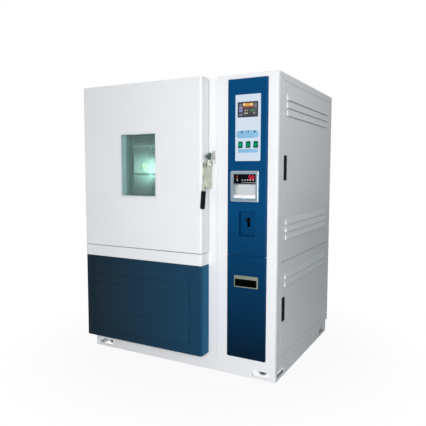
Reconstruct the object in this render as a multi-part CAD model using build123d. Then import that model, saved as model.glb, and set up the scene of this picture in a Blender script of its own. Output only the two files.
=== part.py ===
"""Environmental test chamber: an insulated test space over its refrigeration plant, with a
control column beside it. Millimetres, +Z up. Sizes below are taken from the front left corner of
the cabinet on the floor; the parts are written about the middle of the footprint."""

import os
from math import radians, sin

from build123d import *

# Driving dimensions of the cabinet
cabinet_width = 1288.0
column_module_width = 365.5
base_depth = 1026.0
rear_cover_depth = 42.0
body_height = 1700.0
module_step = 10.0
floor_lift = 12.0
rail_height = 78.0
sheet = 2.0
frame_depth = 40.0
post_radius = 14.0

# Driving dimensions of the front
front_proud = 87.0
front_inset = 56.0
edge_radius = 14.0
door_bottom_share = 0.4188
door_top_drop = 7.0
sill_height = 69.0
louvre_bottom = 112.0
reveal = 2.0
column_inset = 59.7
column_width = 241.5
column_bottom = 120.2
column_top_drop = 25.5
fascia_proud = 6.0
fascia_bevel = 12.0

# Driving dimensions of the test space
space_left = 100.0
space_right_wall = 100.5
space_floor_wall = 88.0
space_top_wall = 93.0
liner_depth = 640.0
plenum_depth = 120.0
insulation = 96.0
window_off_middle = 5.6
window_width = 260.7
window_rise = 317.0
window_height = 378.0

# Clearances
seat_gap = 0.3
running_fit = 0.05
hinge_gap = 0.5

# Worked out from the driving dimensions
rail_top = floor_lift + rail_height
body_top = floor_lift + body_height
module_top = body_top - module_step
body_depth = base_depth + rear_cover_depth
chamber_module_width = cabinet_width - column_module_width
front_width = chamber_module_width - front_inset
door_bottom = body_height * door_bottom_share
door_top = body_top - door_top_drop
sill_bottom = door_bottom - sill_height
column_right = cabinet_width - column_inset
column_left = column_right - column_width
column_split = door_bottom - 1
column_top = body_top - column_top_drop
space_right = front_width - space_right_wall
space_bottom = door_bottom + space_floor_wall
space_top = door_top - space_top_wall
plenum_front = liner_depth - plenum_depth
window_left = (front_width - window_width) / 2 - window_off_middle
window_right = window_left + window_width
window_bottom = door_bottom + window_rise
window_top = window_bottom + window_height


def block(x0, x1, y0, y1, z0, z1):
    """A box given by its two ends on each axis."""
    middle = Pos((x0 + x1) / 2, (y0 + y1) / 2, (z0 + z1) / 2)
    return middle * Box(x1 - x0, y1 - y0, z1 - z0)


def rod_x(x0, x1, y, z, radius):
    """A round bar that lies from left to right."""
    return Pos((x0 + x1) / 2, y, z) * Rot(0, 90, 0) * Cylinder(radius, x1 - x0)


def rod_y(x, y0, y1, z, radius):
    """A round bar that lies from front to back."""
    return Pos(x, (y0 + y1) / 2, z) * Rot(90, 0, 0) * Cylinder(radius, y1 - y0)


def rod_z(x, y, z0, z1, radius):
    """A round bar that stands upright."""
    return Pos(x, y, (z0 + z1) / 2) * Cylinder(radius, z1 - z0)


def plate_x(points, x0, x1):
    """A flat plate between x0 and x1 with its outline given as (y, z) points."""
    outline = Plane.YZ * Polygon(*points, align=None)
    return Pos(x0, 0, 0) * extrude(outline, amount=x1 - x0, dir=(1, 0, 0))


def plate_y(points, y0, y1):
    """A flat plate between y0 and y1 with its outline given as (x, z) points."""
    outline = Plane.XZ * Polygon(*points, align=None)
    return Pos(0, y0, 0) * extrude(outline, amount=y1 - y0, dir=(0, 1, 0))


def rounded_uprights(shape, radius, y_side):
    """Round the upright edges of a block that lie at y_side."""
    edges = shape.edges().filter_by(Axis.Z).filter_by_position(Axis.Y, y_side - 0.1, y_side + 0.1)
    return fillet(edges, radius)


# Welded base
web = 3.0
bottom_flange = 30.0
deck = 3.0
window_inset = 36.0
side_window_inset = 28.0
rear_window_inset = 58.0
rail_window_width = 103.0
rail_window_height = 31.5
rail_window_low = 16.0
caster_inset = 88.0
foot_inset_x = 190.0
foot_inset_y = 60.0
foot_boss_radius = 15.0
foot_boss_length = 42.0
foot_stem_radius = 6.0
foot_pad_radius = 28.0
foot_pad_height = 8.0
lock_nut_height = 8.0

# Casters, clear of the floor while the feet stand on it
caster_lift = 3.0
wheel_radius = 30.0
wheel_width = 20.0
wheel_trail = 22.0
axle_radius = 4.0
fork_wall = 3.0
fork_disc_radius = 24.0
fork_disc_low = 70.0
fork_shoulder = 18.0
caster_plate_size = 72.0
caster_plate_thick = 4.0
kingpin_radius = 5.0
kingpin_head_radius = 9.0
kingpin_head = 3.0

wheel_z = caster_lift + wheel_radius
deck_low = rail_top - deck
caster_plate_low = deck_low - caster_plate_thick
foot_boss_low = deck_low - foot_boss_length
caster_y = {"front": caster_inset, "rear": base_depth - caster_inset}
caster_x = {"left": caster_inset, "right": cabinet_width - caster_inset}
foot_places = [
    (x, y)
    for x in (foot_inset_x, cabinet_width - foot_inset_x)
    for y in (foot_inset_y, base_depth - foot_inset_y)
]


def make_base_frame():
    outer = block(0, cabinet_width, 0, base_depth, floor_lift, rail_top)
    inside = block(web, cabinet_width - web, web, base_depth - web, floor_lift + web, deck_low)
    mouth = block(
        bottom_flange, cabinet_width - bottom_flange, bottom_flange, base_depth - bottom_flange,
        floor_lift - 1, floor_lift + web + 1,
    )
    frame = outer - inside - mouth
    low = floor_lift + rail_window_low
    high = low + rail_window_height
    for start in (window_inset, cabinet_width - window_inset - rail_window_width):
        frame -= block(start, start + rail_window_width, -1, web + 1, low, high)
        frame -= block(
            start, start + rail_window_width, base_depth - web - 1, base_depth + 1, low, high
        )
    for start in (side_window_inset, base_depth - rear_window_inset - rail_window_width):
        frame -= block(-1, web + 1, start, start + rail_window_width, low, high)
        frame -= block(
            cabinet_width - web - 1, cabinet_width + 1, start, start + rail_window_width, low, high
        )
    for x, y in foot_places:
        frame += rod_z(x, y, foot_boss_low, deck_low, foot_boss_radius)
        frame -= rod_z(x, y, foot_boss_low - 1, deck_low - 1, foot_stem_radius + running_fit)
    for x in caster_x.values():
        frame += make_kingpin(x, caster_y["front"])
    return frame


def make_kingpin(x, y):
    half = caster_plate_size / 2
    plate = block(x - half, x + half, y - half, y + half, caster_plate_low, deck_low)
    head_high = fork_disc_low - seat_gap
    pin = rod_z(x, y, head_high - kingpin_head, caster_plate_low, kingpin_radius)
    return plate + pin + rod_z(x, y, head_high - kingpin_head, head_high, kingpin_head_radius)


def make_levelling_feet():
    feet = []
    for x, y in foot_places:
        pad = Pos(x, y, 0) * extrude(Circle(foot_pad_radius), amount=foot_pad_height, taper=25)
        stem = rod_z(x, y, foot_pad_height / 2, deck_low - 2, foot_stem_radius)
        nut = extrude(RegularPolygon(foot_stem_radius * 1.7, 6), amount=lock_nut_height)
        feet.append(pad + stem + Pos(x, y, foot_boss_low - lock_nut_height) * nut)
    return feet


def make_fork(x, y, fixed):
    """A pressed fork whose axle trails the upright pivot; a fixed one has its own top plate."""
    axle_x = x - wheel_trail
    leg_in = wheel_width / 2 + 1
    leg_out = leg_in + fork_wall
    disc_high = caster_plate_low - seat_gap
    disc = rod_z(x, y, fork_disc_low, disc_high, fork_disc_radius)
    fork = disc
    for side in (-1, 1):
        y0, y1 = sorted((y + side * leg_in, y + side * leg_out))
        corners = [
            (x - fork_shoulder, fork_disc_low + 2), (x + fork_shoulder, fork_disc_low + 2),
            (axle_x + 8, wheel_z - 4), (axle_x - 8, wheel_z - 4),
        ]
        fork += plate_y(corners, y0, y1) + rod_y(axle_x, y0, y1, wheel_z, 8.5)
    fork += rod_y(axle_x, y - leg_out, y + leg_out, wheel_z, axle_radius)
    if fixed:
        half = caster_plate_size / 2
        return fork + block(x - half, x + half, y - half, y + half, disc_high - 0.5, deck_low)
    return fork - rod_z(x, y, fork_disc_low - 1, caster_plate_low, kingpin_radius + running_fit)


def make_wheel(x, y):
    """A wheel with a rounded tread, a recessed web and a hub bored for the axle."""
    half = wheel_width / 2
    section = Polyline(
        (axle_radius + running_fit, -half), (9, -half), (10, -half + 4), (22, -half + 4), (23, -half),
        (wheel_radius - 3, -half), (wheel_radius, -half + 4), (wheel_radius, half - 4),
        (wheel_radius - 3, half), (23, half), (22, half - 4), (10, half - 4), (9, half),
        (axle_radius + running_fit, half), close=True,
    )
    wheel = revolve(make_face(Plane.XZ * section), Axis.Z)
    return Pos(x - wheel_trail, y, wheel_z) * Rot(90, 0, 0) * wheel


# Folded front frame: one for the chamber module and one for the control column
mouth_margin = 20.0
plant_left = 40.0
plant_right = front_width - 40.5
plant_bottom = 136.0
plant_top = sill_bottom + 17.0
seam_gap = 1.0
post_depth = 64.0


def folded_frame(x0, x1, z0, z1, depth, openings):
    """A sheet frame folded back along its outer edges and round each opening."""
    frame = block(x0, x1, 0, depth, z0, z1)
    hollow = block(x0 + sheet, x1 - sheet, sheet, depth + 1, z0 + sheet, z1 - sheet)
    for a, b, low, high in openings:
        hollow -= block(a - sheet, b + sheet, 0, depth + 1, low - sheet, high + sheet)
    frame -= hollow
    for a, b, low, high in openings:
        frame -= block(a, b, -1, depth + 1, low, high)
    return frame


def make_front_frame():
    chamber_mouth = (
        space_left - mouth_margin, space_right + mouth_margin,
        space_bottom - mouth_margin, space_top + mouth_margin,
    )
    plant_mouth = (plant_left, plant_right, plant_bottom, plant_top)
    chamber_side = folded_frame(
        0, chamber_module_width - seam_gap / 2, rail_top, module_top, frame_depth,
        [chamber_mouth, plant_mouth],
    )
    column_mouth = (
        column_left + fascia_bevel, column_right - fascia_bevel,
        column_bottom + fascia_bevel, column_top - fascia_bevel,
    )
    column_side = folded_frame(
        chamber_module_width + seam_gap / 2, cabinet_width, rail_top, body_top, frame_depth,
        [column_mouth],
    )
    post_edge = column_side.edges().filter_by(Axis.Z).sort_by_distance((cabinet_width, 0, body_top))[0]
    return [chamber_side, fillet(post_edge, post_radius)]


# Right side: a folded side frame with two doors hung on pins at their rear edge
side_rail_top = 40.0
side_split = door_bottom - 35.0
side_bottom = 137.0
side_front = 65.5
side_rear = 1012.0
side_gap = 2.0
side_door_depth = 20.0
side_pin_radius = 3.0
side_pin_from_face = 7.0
side_pin_from_edge = 16.0
side_pin_length = 14.0
louvre_pitch = 43.0
louvre_front = 126.0
louvre_rear = 950.0
louvre_rise = 6.0
louvre_land = 5.0
upper_louvre_top = body_top - 100.0
middle_louvre_top = side_split + 245.0
lower_louvre_top = side_split - 66.0
latch_cup_front = 82.0
latch_cup_width = 46.0
latch_cup_height = 138.0
latch_cup_depth = 16.0
upper_latch_low = side_split + 456.0
lower_latch_low = side_split - 341.0
paddle_pin_radius = 2.5

side_openings = {
    "upper": (side_split + side_gap, body_top - side_rail_top),
    "lower": (side_bottom, side_split - side_gap),
}
side_pin_x = cabinet_width - side_pin_from_face
side_pin_y = side_rear - side_pin_from_edge
cup_low = {"upper": upper_latch_low, "lower": lower_latch_low}


def make_side_frame():
    """The column's right side and top, folded from one sheet, with its door pins."""
    inner = cabinet_width - sheet
    side = block(inner, cabinet_width, frame_depth, base_depth, rail_top, body_top)
    for low, high in side_openings.values():
        depth = side_door_depth + 4
        side += block(
            cabinet_width - depth, inner, side_front - sheet, side_rear + sheet, low - sheet, high + sheet
        )
        side -= block(cabinet_width - depth - 1, cabinet_width + 1, side_front, side_rear, low, high)
    for low, high in side_openings.values():
        side += rod_z(side_pin_x, side_pin_y, low - sheet, low + side_pin_length, side_pin_radius)
        side += rod_z(side_pin_x, side_pin_y, high - side_pin_length, high + sheet, side_pin_radius)
    top = block(
        chamber_module_width + seam_gap / 2, inner, frame_depth, base_depth, body_top - sheet, body_top
    )
    return side + top


louvre_lip = 4.0


def louvre_hood(z_low, z_high, rise):
    """The outline of a pressed louvre and of the space under it, as (outward, z) points."""
    hood = [(0, z_high), (rise, z_low + louvre_lip), (rise, z_low), (0, z_low)]
    space = [
        (-sheet - 1, z_high - 3 * sheet), (rise - sheet, z_low + louvre_lip), (rise - sheet, z_low - 1),
        (-sheet - 1, z_low - 1),
    ]
    return hood, space


def side_louvre(door, y0, y1, z_low, z_high):
    """Press one louvre, closed at both ends and open below, into a panel that faces right."""
    hood, space = louvre_hood(z_low, z_high, louvre_rise)
    for sign, outline, inset in ((1, hood, 0), (-1, space, sheet)):
        points = [(cabinet_width + out, z) for out, z in outline]
        body = plate_y(points, y0 + inset, y1 - inset)
        door = door + body if sign > 0 else door - body
    return door


def make_side_door(name, louvre_tops):
    low, high = side_openings[name]
    z0 = low + side_gap
    z1 = high - side_gap
    y0 = side_front + side_gap
    y1 = side_rear - side_gap
    outer = block(cabinet_width - side_door_depth, cabinet_width, y0, y1, z0, z1)
    door = outer - block(
        cabinet_width - side_door_depth - 1, cabinet_width - sheet, y0 + sheet, y1 - sheet,
        z0 + sheet, z1 - sheet,
    )
    for top, count in louvre_tops:
        for i in range(count):
            band_low = top - (i + 1) * louvre_pitch
            door = side_louvre(
                door, louvre_front, louvre_rear, band_low + louvre_land, band_low + louvre_pitch
            )
    hole = rod_z(side_pin_x, side_pin_y, z0 - 1, z1 + 1, side_pin_radius + running_fit)
    cup = cup_low[name]
    door -= block(
        cabinet_width - sheet - 1, cabinet_width + 1, latch_cup_front + 3,
        latch_cup_front + latch_cup_width - 3, cup + 3, cup + latch_cup_height - 3,
    )
    return door - hole


def make_latch_cup(name):
    """A flush dish with a rim on the door face; the paddle pivots on its cross pin."""
    low = cup_low[name]
    front = latch_cup_front
    rear = front + latch_cup_width
    high = low + latch_cup_height
    face = cabinet_width + 1.5
    rim = block(cabinet_width, face, front, rear, low, high)
    dish_back = cabinet_width - latch_cup_depth
    dish = block(dish_back, cabinet_width, front + 3.3, rear - 3.3, low + 3.3, high - 3.3)
    cup = rim + dish
    cup -= block(dish_back + sheet, face + 1, front + 6, rear - 6, low + 6, high - 6)
    return cup + rod_y(cabinet_width - 5, front + 5, rear - 5, high - 16, paddle_pin_radius)


def make_paddle(name):
    low = cup_low[name]
    high = low + latch_cup_height
    pivot_z = high - 16
    y0 = latch_cup_front + 9
    y1 = latch_cup_front + latch_cup_width - 9
    x0 = cabinet_width - 8
    x1 = cabinet_width + 0.5
    paddle = block(x0, x1 - 2, y0, y1, low + 12, pivot_z)
    paddle = fillet(paddle.edges().filter_by(Axis.Y).filter_by_position(Axis.Z, low, low + 13), 3)
    paddle += rod_y(cabinet_width - 5, y0, y1, pivot_z, 5.5)
    paddle += block(x0 + 1, x1, y0 + 3, y1 - 3, low + 14, low + 34)
    return paddle - rod_y(cabinet_width - 5, y0 - 1, y1 + 1, pivot_z, paddle_pin_radius + running_fit)


# Covers
def make_chamber_wrap():
    """The chamber module's left side and top, folded from one sheet."""
    right = chamber_module_width - seam_gap / 2
    wrap = block(0, right, frame_depth, base_depth, rail_top, module_top)
    return wrap - block(
        sheet, right + 1, frame_depth - 1, base_depth + 1, rail_top - 1, module_top - sheet
    )


rear_slot_length = 360.0
rear_slot_width = 10.0
rear_slot_inset = 180.0
rear_slot_pitch = 36.0
rear_slot_rows = 6
rear_slot_lows = (rail_top + 130.0, body_top - 352.0)


def make_rear_cover():
    cover = block(0, cabinet_width, base_depth, body_depth, rail_top, body_top)
    cover -= block(
        sheet, cabinet_width - sheet, base_depth - 1, body_depth - sheet, rail_top + sheet, body_top - sheet
    )
    slot = Rot(90, 0, 0) * extrude(
        SlotOverall(rear_slot_length, rear_slot_width), amount=3 * sheet, both=True
    )
    slot_middle = rear_slot_inset + rear_slot_length / 2
    for group_low in rear_slot_lows:
        for i in range(rear_slot_rows):
            for x in (slot_middle, cabinet_width - slot_middle):
                cover -= Pos(x, body_depth, group_low + i * rear_slot_pitch) * slot
    return cover


# Test space
def make_chamber_liner():
    outer = block(
        space_left - sheet, space_right + sheet, 0, liner_depth + sheet,
        space_bottom - sheet, space_top + sheet,
    )
    flange = block(
        space_left - mouth_margin, space_right + mouth_margin, 0, sheet,
        space_bottom - mouth_margin, space_top + mouth_margin,
    )
    space = block(space_left, space_right, -1, liner_depth, space_bottom, space_top)
    shaft_hole = rod_y(fan_x, liner_depth - 1, liner_depth + sheet + 1, fan_z, shaft_radius + 3)
    return outer + flange - space - shaft_hole


def make_chamber_insulation():
    skin = sheet + seat_gap
    outer = block(
        space_left - insulation + skin, space_right + insulation, frame_depth + seat_gap,
        liner_depth + sheet + insulation, space_bottom - insulation, space_top + insulation - 12,
    )
    inner = block(
        space_left - sheet, space_right + sheet, 0, liner_depth + sheet,
        space_bottom - sheet, space_top + sheet,
    )
    shaft_hole = rod_y(
        fan_x, liner_depth, liner_depth + insulation + 10, fan_z, shaft_radius + 3
    )
    return outer - inner - shaft_hole


fan_x = (space_left + space_right) / 2
fan_z = space_top - 180.0
fan_radius = 120.0
fan_front = plenum_front + 26.0
fan_width = 46.0
shaft_radius = 6.0
motor_radius = 62.0
motor_length = 150.0
motor_front = liner_depth + sheet + insulation
blade_count = 10


def make_air_duct_panel():
    """The stainless panel in front of the fan and coil, slotted for the air to leave and return."""
    low = space_bottom + 1
    high = space_top - 1
    panel = block(space_left + 1, space_right - 1, plenum_front, plenum_front + sheet, low, high)
    for i in range(-4, 5):
        half = (fan_radius**2 - (i * 24.0) ** 2) ** 0.5
        panel -= Pos(fan_x, plenum_front, fan_z + i * 24.0) * Rot(90, 0, 0) * extrude(
            SlotOverall(2 * half, 12), amount=6, both=True
        )
    for row in range(4):
        for column in range(3):
            x = space_left + 150 + column * 183
            z = space_bottom + 60 + row * 30
            panel -= Pos(x, plenum_front, z) * Rot(90, 0, 0) * extrude(
                SlotOverall(150, 12), amount=6, both=True
            )
    for x in (space_left + 1, space_right - 1 - sheet):
        panel += block(x, x + sheet, plenum_front, liner_depth - seat_gap, low, high)
    return panel


def make_circulation_fan():
    """A centrifugal wheel: hub plate, blades and front ring on the motor's long shaft."""
    back = fan_front + fan_width
    wheel = rod_y(fan_x, back - 3, back, fan_z, fan_radius)
    ring = rod_y(fan_x, fan_front, fan_front + 3, fan_z, fan_radius)
    wheel += ring - rod_y(fan_x, fan_front - 1, fan_front + 4, fan_z, fan_radius - 40)
    for i in range(blade_count):
        angle = 360 / blade_count * i
        blade = Rot(0, angle, 0) * Pos(fan_radius - 20, 0, 0) * Rot(0, 35, 0) * Box(34, fan_width - 4, 2)
        wheel += Pos(fan_x, fan_front + fan_width / 2, fan_z) * blade
    wheel += rod_y(fan_x, fan_front + 12, back, fan_z, 18)
    return wheel + rod_y(fan_x, back - 1, motor_front + 40, fan_z, shaft_radius)


def make_fan_motor():
    motor = rod_y(fan_x, motor_front, motor_front + motor_length, fan_z, motor_radius)
    motor = fillet(motor.edges().filter_by(GeomType.CIRCLE), 8)
    foot = block(fan_x - 90, fan_x + 90, motor_front, motor_front + 5, fan_z - 90, fan_z + 90)
    motor += foot
    return motor - rod_y(fan_x, motor_front - 1, motor_front + 45, fan_z, shaft_radius + running_fit)


coil_fins = 14
coil_tubes = 4


def make_finned_coil(x0, x1, y0, y1, z0, z1, fins, tubes):
    """A pack of fins between two end plates with the tubes run through them."""
    coil = block(x0, x0 + sheet, y0, y1, z0, z1) + block(x1 - sheet, x1, y0, y1, z0, z1)
    for i in range(1, fins):
        x = x0 + (x1 - x0) * i / fins
        coil += block(x - 0.6, x + 0.6, y0 + 2, y1 - 2, z0, z1)
    for i in range(tubes):
        z = z0 + (z1 - z0) * (i + 0.5) / tubes
        coil += rod_x(x0 - 12, x1 + 12, (y0 + y1) / 2, z, 6)
    return coil


def make_evaporator_coil():
    return make_finned_coil(
        space_left + 60, space_right - 60, plenum_front + 40, liner_depth - 20,
        space_bottom + 0.3, space_bottom + 300, coil_fins, coil_tubes,
    )


standard_width = 38.0
standard_depth = 9.0
standard_slot = 8.0
hook_reach = 14.0
standard_slot_pitch = 30.0
standard_slots = 20
shelf_front = 70.0
shelf_rear = plenum_front - 8.0
shelf_wire = 3.0
shelf_side_wire = 2.6
shelf_bar_wire = 1.8
shelf_bars = 13
shelf_levels = [space_bottom + 360.0, space_bottom + 560.0]
standard_places = [214.0, plenum_front - 40.0]
standard_middles = [y + standard_width / 2 for y in standard_places]


def make_shelf_standards():
    """Four slotted channels, two on each wall, with a hook at each shelf corner."""
    standards = []
    for y in standard_places:
        for left in (True, False):
            x0 = space_left if left else space_right - standard_depth
            x1 = x0 + standard_depth
            upright = block(x0, x1, y, y + standard_width, space_bottom + 40, space_top - 60)
            hollow0, hollow1 = (x0 - 1, x1 - sheet) if left else (x0 + sheet, x1 + 1)
            upright -= block(hollow0, hollow1, y + sheet, y + standard_width - sheet, space_bottom, space_top)
            slot0 = y + (standard_width - standard_slot) / 2
            slot1 = slot0 + standard_slot
            for i in range(standard_slots):
                z = space_bottom + 80 + i * standard_slot_pitch
                upright -= block(x0 - 1, x1 + 1, slot0, slot1, z, z + 14)
            for level in shelf_levels:
                z = level - 8
                hook0, hook1 = (x1 - sheet, x1 + hook_reach) if left else (x0 - hook_reach, x0 + sheet)
                upright += block(hook0, hook1, slot0, slot1, z, z + 8)
            standards.append(upright)
    return standards


def make_shelf(level):
    """A wire shelf: a bent border rod, two cross rods and a row of bars welded on top."""
    x0 = space_left + standard_depth + 5
    x1 = space_right - standard_depth - 5
    z = level + shelf_wire + 0.3
    side0 = x0 + shelf_wire
    side1 = x1 - shelf_wire
    shelf = rod_x(x0 + 1, x1 - 1, shelf_front, z, shelf_wire)
    for y in (*standard_middles, shelf_rear):
        shelf += rod_x(x0 + 1, x1 - 1, y, z, shelf_wire)
    for x in (side0, side1):
        shelf += rod_y(x, shelf_front - 1, shelf_rear + 1, z, shelf_side_wire)
    for i in range(1, shelf_bars + 1):
        x = side0 + (side1 - side0) * i / (shelf_bars + 1)
        shelf += rod_y(x, shelf_front - 2, shelf_rear + 2, z + shelf_wire, shelf_bar_wire)
    return shelf


lamp_y = plenum_front - 88.0
lamp_z = space_bottom + 418.0
lamp_radius = 24.0


def make_chamber_lamp():
    """A bulkhead lamp on the left wall: a flanged base and a domed glass."""
    base = rod_x(space_left, space_left + 8, lamp_y, lamp_z, lamp_radius + 8)
    dome = rod_x(space_left + 8, space_left + 30, lamp_y, lamp_z, lamp_radius)
    dome = fillet(dome.edges().filter_by(GeomType.CIRCLE).sort_by(Axis.X)[-1], 16)
    return base + dome


# Refrigeration plant on the deck
compressor_x = 250.0
compressor_y = 560.0
compressor_radius = 105.0
compressor_height = 260.0
condenser_x1 = plant_right - 26.0
condenser_x0 = condenser_x1 - 440.0
condenser_y = 130.0
condenser_height = 420.0
condenser_fan_radius = 150.0


def make_compressor():
    """A hermetic shell on a three-legged foot plate, with its terminal box and stubs."""
    low = rail_top + 24
    shell = rod_z(compressor_x, compressor_y, low, low + compressor_height, compressor_radius)
    ends = shell.edges().filter_by(GeomType.CIRCLE)
    shell = fillet(ends, compressor_radius * 0.45)
    shell += rod_z(
        compressor_x, compressor_y, low + compressor_height * 0.52, low + compressor_height * 0.55,
        compressor_radius + 4,
    )
    plate = block(
        compressor_x - 120, compressor_x + 120, compressor_y - 90, compressor_y + 90, low - 4, low + 1
    )
    shell += plate
    for dx in (-100, 100):
        for dy in (-70, 70):
            shell += rod_z(compressor_x + dx, compressor_y + dy, rail_top, low - 3, 16)
    box_z = low + compressor_height * 0.35
    shell += block(
        compressor_x - 36, compressor_x + 36, compressor_y - compressor_radius - 34,
        compressor_y - compressor_radius + 20, box_z, box_z + 80,
    )
    top = low + compressor_height
    return shell + rod_z(compressor_x + 30, compressor_y + 30, top - 30, top + 30, 8)


def make_condenser_coil():
    """The condenser with its fan shroud, motor bracket and motor in one unit."""
    low = rail_top
    high = low + condenser_height
    middle_x = (condenser_x0 + condenser_x1) / 2
    middle_z = (low + high) / 2
    coil = make_finned_coil(
        condenser_x0, condenser_x1, condenser_y, condenser_y + 60, low, high, 18, 5
    )
    shroud = block(condenser_x0, condenser_x1, condenser_y + 60, condenser_y + 130, low, high)
    shroud -= block(
        condenser_x0 + sheet, condenser_x1 - sheet, condenser_y + 59, condenser_y + 128,
        low + sheet, high - sheet,
    )
    shroud -= rod_y(middle_x, condenser_y + 120, condenser_y + 140, middle_z, condenser_fan_radius + 8)
    bracket = block(middle_x - 12, middle_x + 12, condenser_y + 184, condenser_y + 190, low, high - 40)
    stay = block(middle_x - 12, middle_x + 12, condenser_y + 128, condenser_y + 190, low, low + 4)
    motor = rod_y(middle_x, condenser_y + 150, condenser_y + 230, middle_z, 36)
    motor -= rod_y(middle_x, condenser_y + 149, condenser_y + 180, middle_z, shaft_radius + running_fit)
    return coil + shroud + bracket + stay + motor


def make_condenser_fan():
    """Five pitched blades on a hub, pushed on the motor shaft."""
    middle_x = (condenser_x0 + condenser_x1) / 2
    middle_z = rail_top + condenser_height / 2
    y = condenser_y + 118
    fan = rod_y(middle_x, y - 16, y + 16, middle_z, 28)
    for i in range(5):
        blade = Rot(0, 72 * i, 0) * Pos(85, 0, 0) * Rot(28, 0, 0) * Box(122, 2, 70)
        fan += Pos(middle_x, y, middle_z) * blade
    fan = fan & rod_y(middle_x, y - 40, y + 24, middle_z, condenser_fan_radius)
    return fan + rod_y(middle_x, y, condenser_y + 176, middle_z, shaft_radius)


# Chamber door, hung on the left on two lift-off hinges
shell_rear = 12.0
plug_depth = 42.0
plug_gap = 10.0
gasket_width = 22.0
hinge_pin_radius = 5.0
knuckle_radius = 9.0
knuckle_length = 46.0
hinge_axis_y = -4.0
hinge_heights = [door_bottom + 168.0, door_top - 165.0]
leaf = 4.0
leaf_length = 52.0

hinge_axis_x = -knuckle_radius
window_rim = 12.0
pane_seat = 2.0
pane = 5.0
lip = 1.5
lip_width = 7.0
lip_inside = 5.0


def window_hole(y0, y1, grow):
    return block(window_left - grow, window_right + grow, y0, y1, window_bottom - grow, window_top + grow)


def make_door_shell():
    outer = block(0, front_width, -front_proud, -shell_rear, door_bottom + reveal, door_top)
    outer = rounded_uprights(outer, edge_radius, -front_proud)
    inside = block(
        sheet, front_width - sheet, -front_proud + sheet, -shell_rear + 1,
        door_bottom + reveal + sheet, door_top - sheet,
    )
    inside = rounded_uprights(inside, edge_radius - sheet, -front_proud + sheet)
    return outer - inside - window_hole(-front_proud - 1, 0, 0)


def make_door_insulation():
    slab = block(
        sheet, front_width - sheet, -front_proud + sheet, -shell_rear,
        door_bottom + reveal + sheet, door_top - sheet,
    )
    slab = rounded_uprights(slab, edge_radius - sheet, -front_proud + sheet)
    plug = block(
        space_left + plug_gap + sheet, space_right - plug_gap - sheet, -shell_rear, plug_depth - sheet,
        space_bottom + plug_gap + sheet, space_top - plug_gap - sheet,
    )
    return slab + plug - window_hole(-front_proud - 1, plug_depth + 1, window_rim)


def make_door_liner():
    """The stainless inner tray whose raised middle plugs the mouth of the test space."""
    rear = -shell_rear + sheet
    tray = block(1, front_width - 1, -shell_rear, rear, door_bottom + reveal + 1, door_top - 1)
    tray += block(
        space_left + plug_gap, space_right - plug_gap, -shell_rear, plug_depth,
        space_bottom + plug_gap, space_top - plug_gap,
    )
    tray -= block(
        space_left + plug_gap + sheet, space_right - plug_gap - sheet, -shell_rear - 1, plug_depth - sheet,
        space_bottom + plug_gap + sheet, space_top - plug_gap - sheet,
    )
    return tray - window_hole(-shell_rear - 1, plug_depth + 1, 0)


def make_door_gasket():
    """A magnetic seal round the plug that meets the liner's front flange."""
    grow = 8.0
    x0 = space_left - gasket_width + grow
    x1 = space_right + gasket_width - grow
    z0 = space_bottom - gasket_width + grow
    z1 = space_top + gasket_width - grow
    seal = block(x0, x1, -shell_rear + sheet, -seat_gap, z0, z1)
    thick = gasket_width - 6
    return seal - block(x0 + thick, x1 - thick, -shell_rear, 0, z0 + thick, z1 - thick)


def window_ring(y0, y1, outer_grow, inner_grow):
    return window_hole(y0, y1, outer_grow) - window_hole(y0 - 1, y1 + 1, inner_grow)


def make_window_trim():
    """The sleeve that lines the door's window hole, with a flange, neck and lip at each face."""
    face = -front_proud
    trim = window_ring(face + sheet, plug_depth - sheet, window_rim, pane_seat)
    for y0, y1, grow in (
        (face + sheet, face + 2 * sheet, window_rim), (face, face + sheet, 0), (face - lip, face, lip_width),
        (plug_depth - 2 * sheet, plug_depth - sheet, window_rim), (plug_depth - sheet, plug_depth, 0),
        (plug_depth, plug_depth + lip, lip_width),
    ):
        trim += window_ring(y0, y1, grow, -lip_inside)
    return trim


def make_window_glazing():
    """Three panes with air gaps between them, held in the sleeve."""
    panes = []
    for y in (-front_proud + 8, -front_proud + 50, plug_depth - 14):
        panes.append(window_hole(y, y + pane, pane_seat))
    return panes


def hinge_knuckle(z, low, high):
    return rod_z(hinge_axis_x, hinge_axis_y, z + low, z + high, knuckle_radius)


def make_cabinet_hinge_leaves():
    """Leaves bolted to the cabinet's left side, each with its lower knuckle and pin."""
    parts = []
    for z in hinge_heights:
        plate = block(-leaf, 0, hinge_axis_y + 6, leaf_length, z, z + knuckle_length * 2)
        parts.append(
            plate - hinge_knuckle(z, knuckle_length - hinge_gap, knuckle_length * 2 + 1)
            - block(-leaf - 1, 1, -20, 12, z + knuckle_length - hinge_gap, z + knuckle_length * 2 + 1)
            + hinge_knuckle(z, 0, knuckle_length - hinge_gap)
            + rod_z(hinge_axis_x, hinge_axis_y, z + 2, z + knuckle_length * 2 - 4, hinge_pin_radius)
        )
    return parts


def make_door_hinge_leaves():
    """Leaves bolted to the door's left edge, each with its upper knuckle dropped on the pin."""
    parts = []
    for z in hinge_heights:
        joint = z + knuckle_length + hinge_gap
        high = z + knuckle_length * 2
        plate = block(-leaf, 0, -leaf_length - 12, hinge_axis_y - 6, joint, high)
        wide = block(-leaf, 0, -leaf_length - 12, -shell_rear - 6, z, high)
        bore = rod_z(hinge_axis_x, hinge_axis_y, z, high - 3, hinge_pin_radius + running_fit)
        knuckle = hinge_knuckle(z, knuckle_length + hinge_gap, knuckle_length * 2)
        clear = rod_z(hinge_axis_x, hinge_axis_y, z - 1, joint, knuckle_radius + 1)
        parts.append(plate + wide + knuckle - bore - clear)
    return parts


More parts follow.
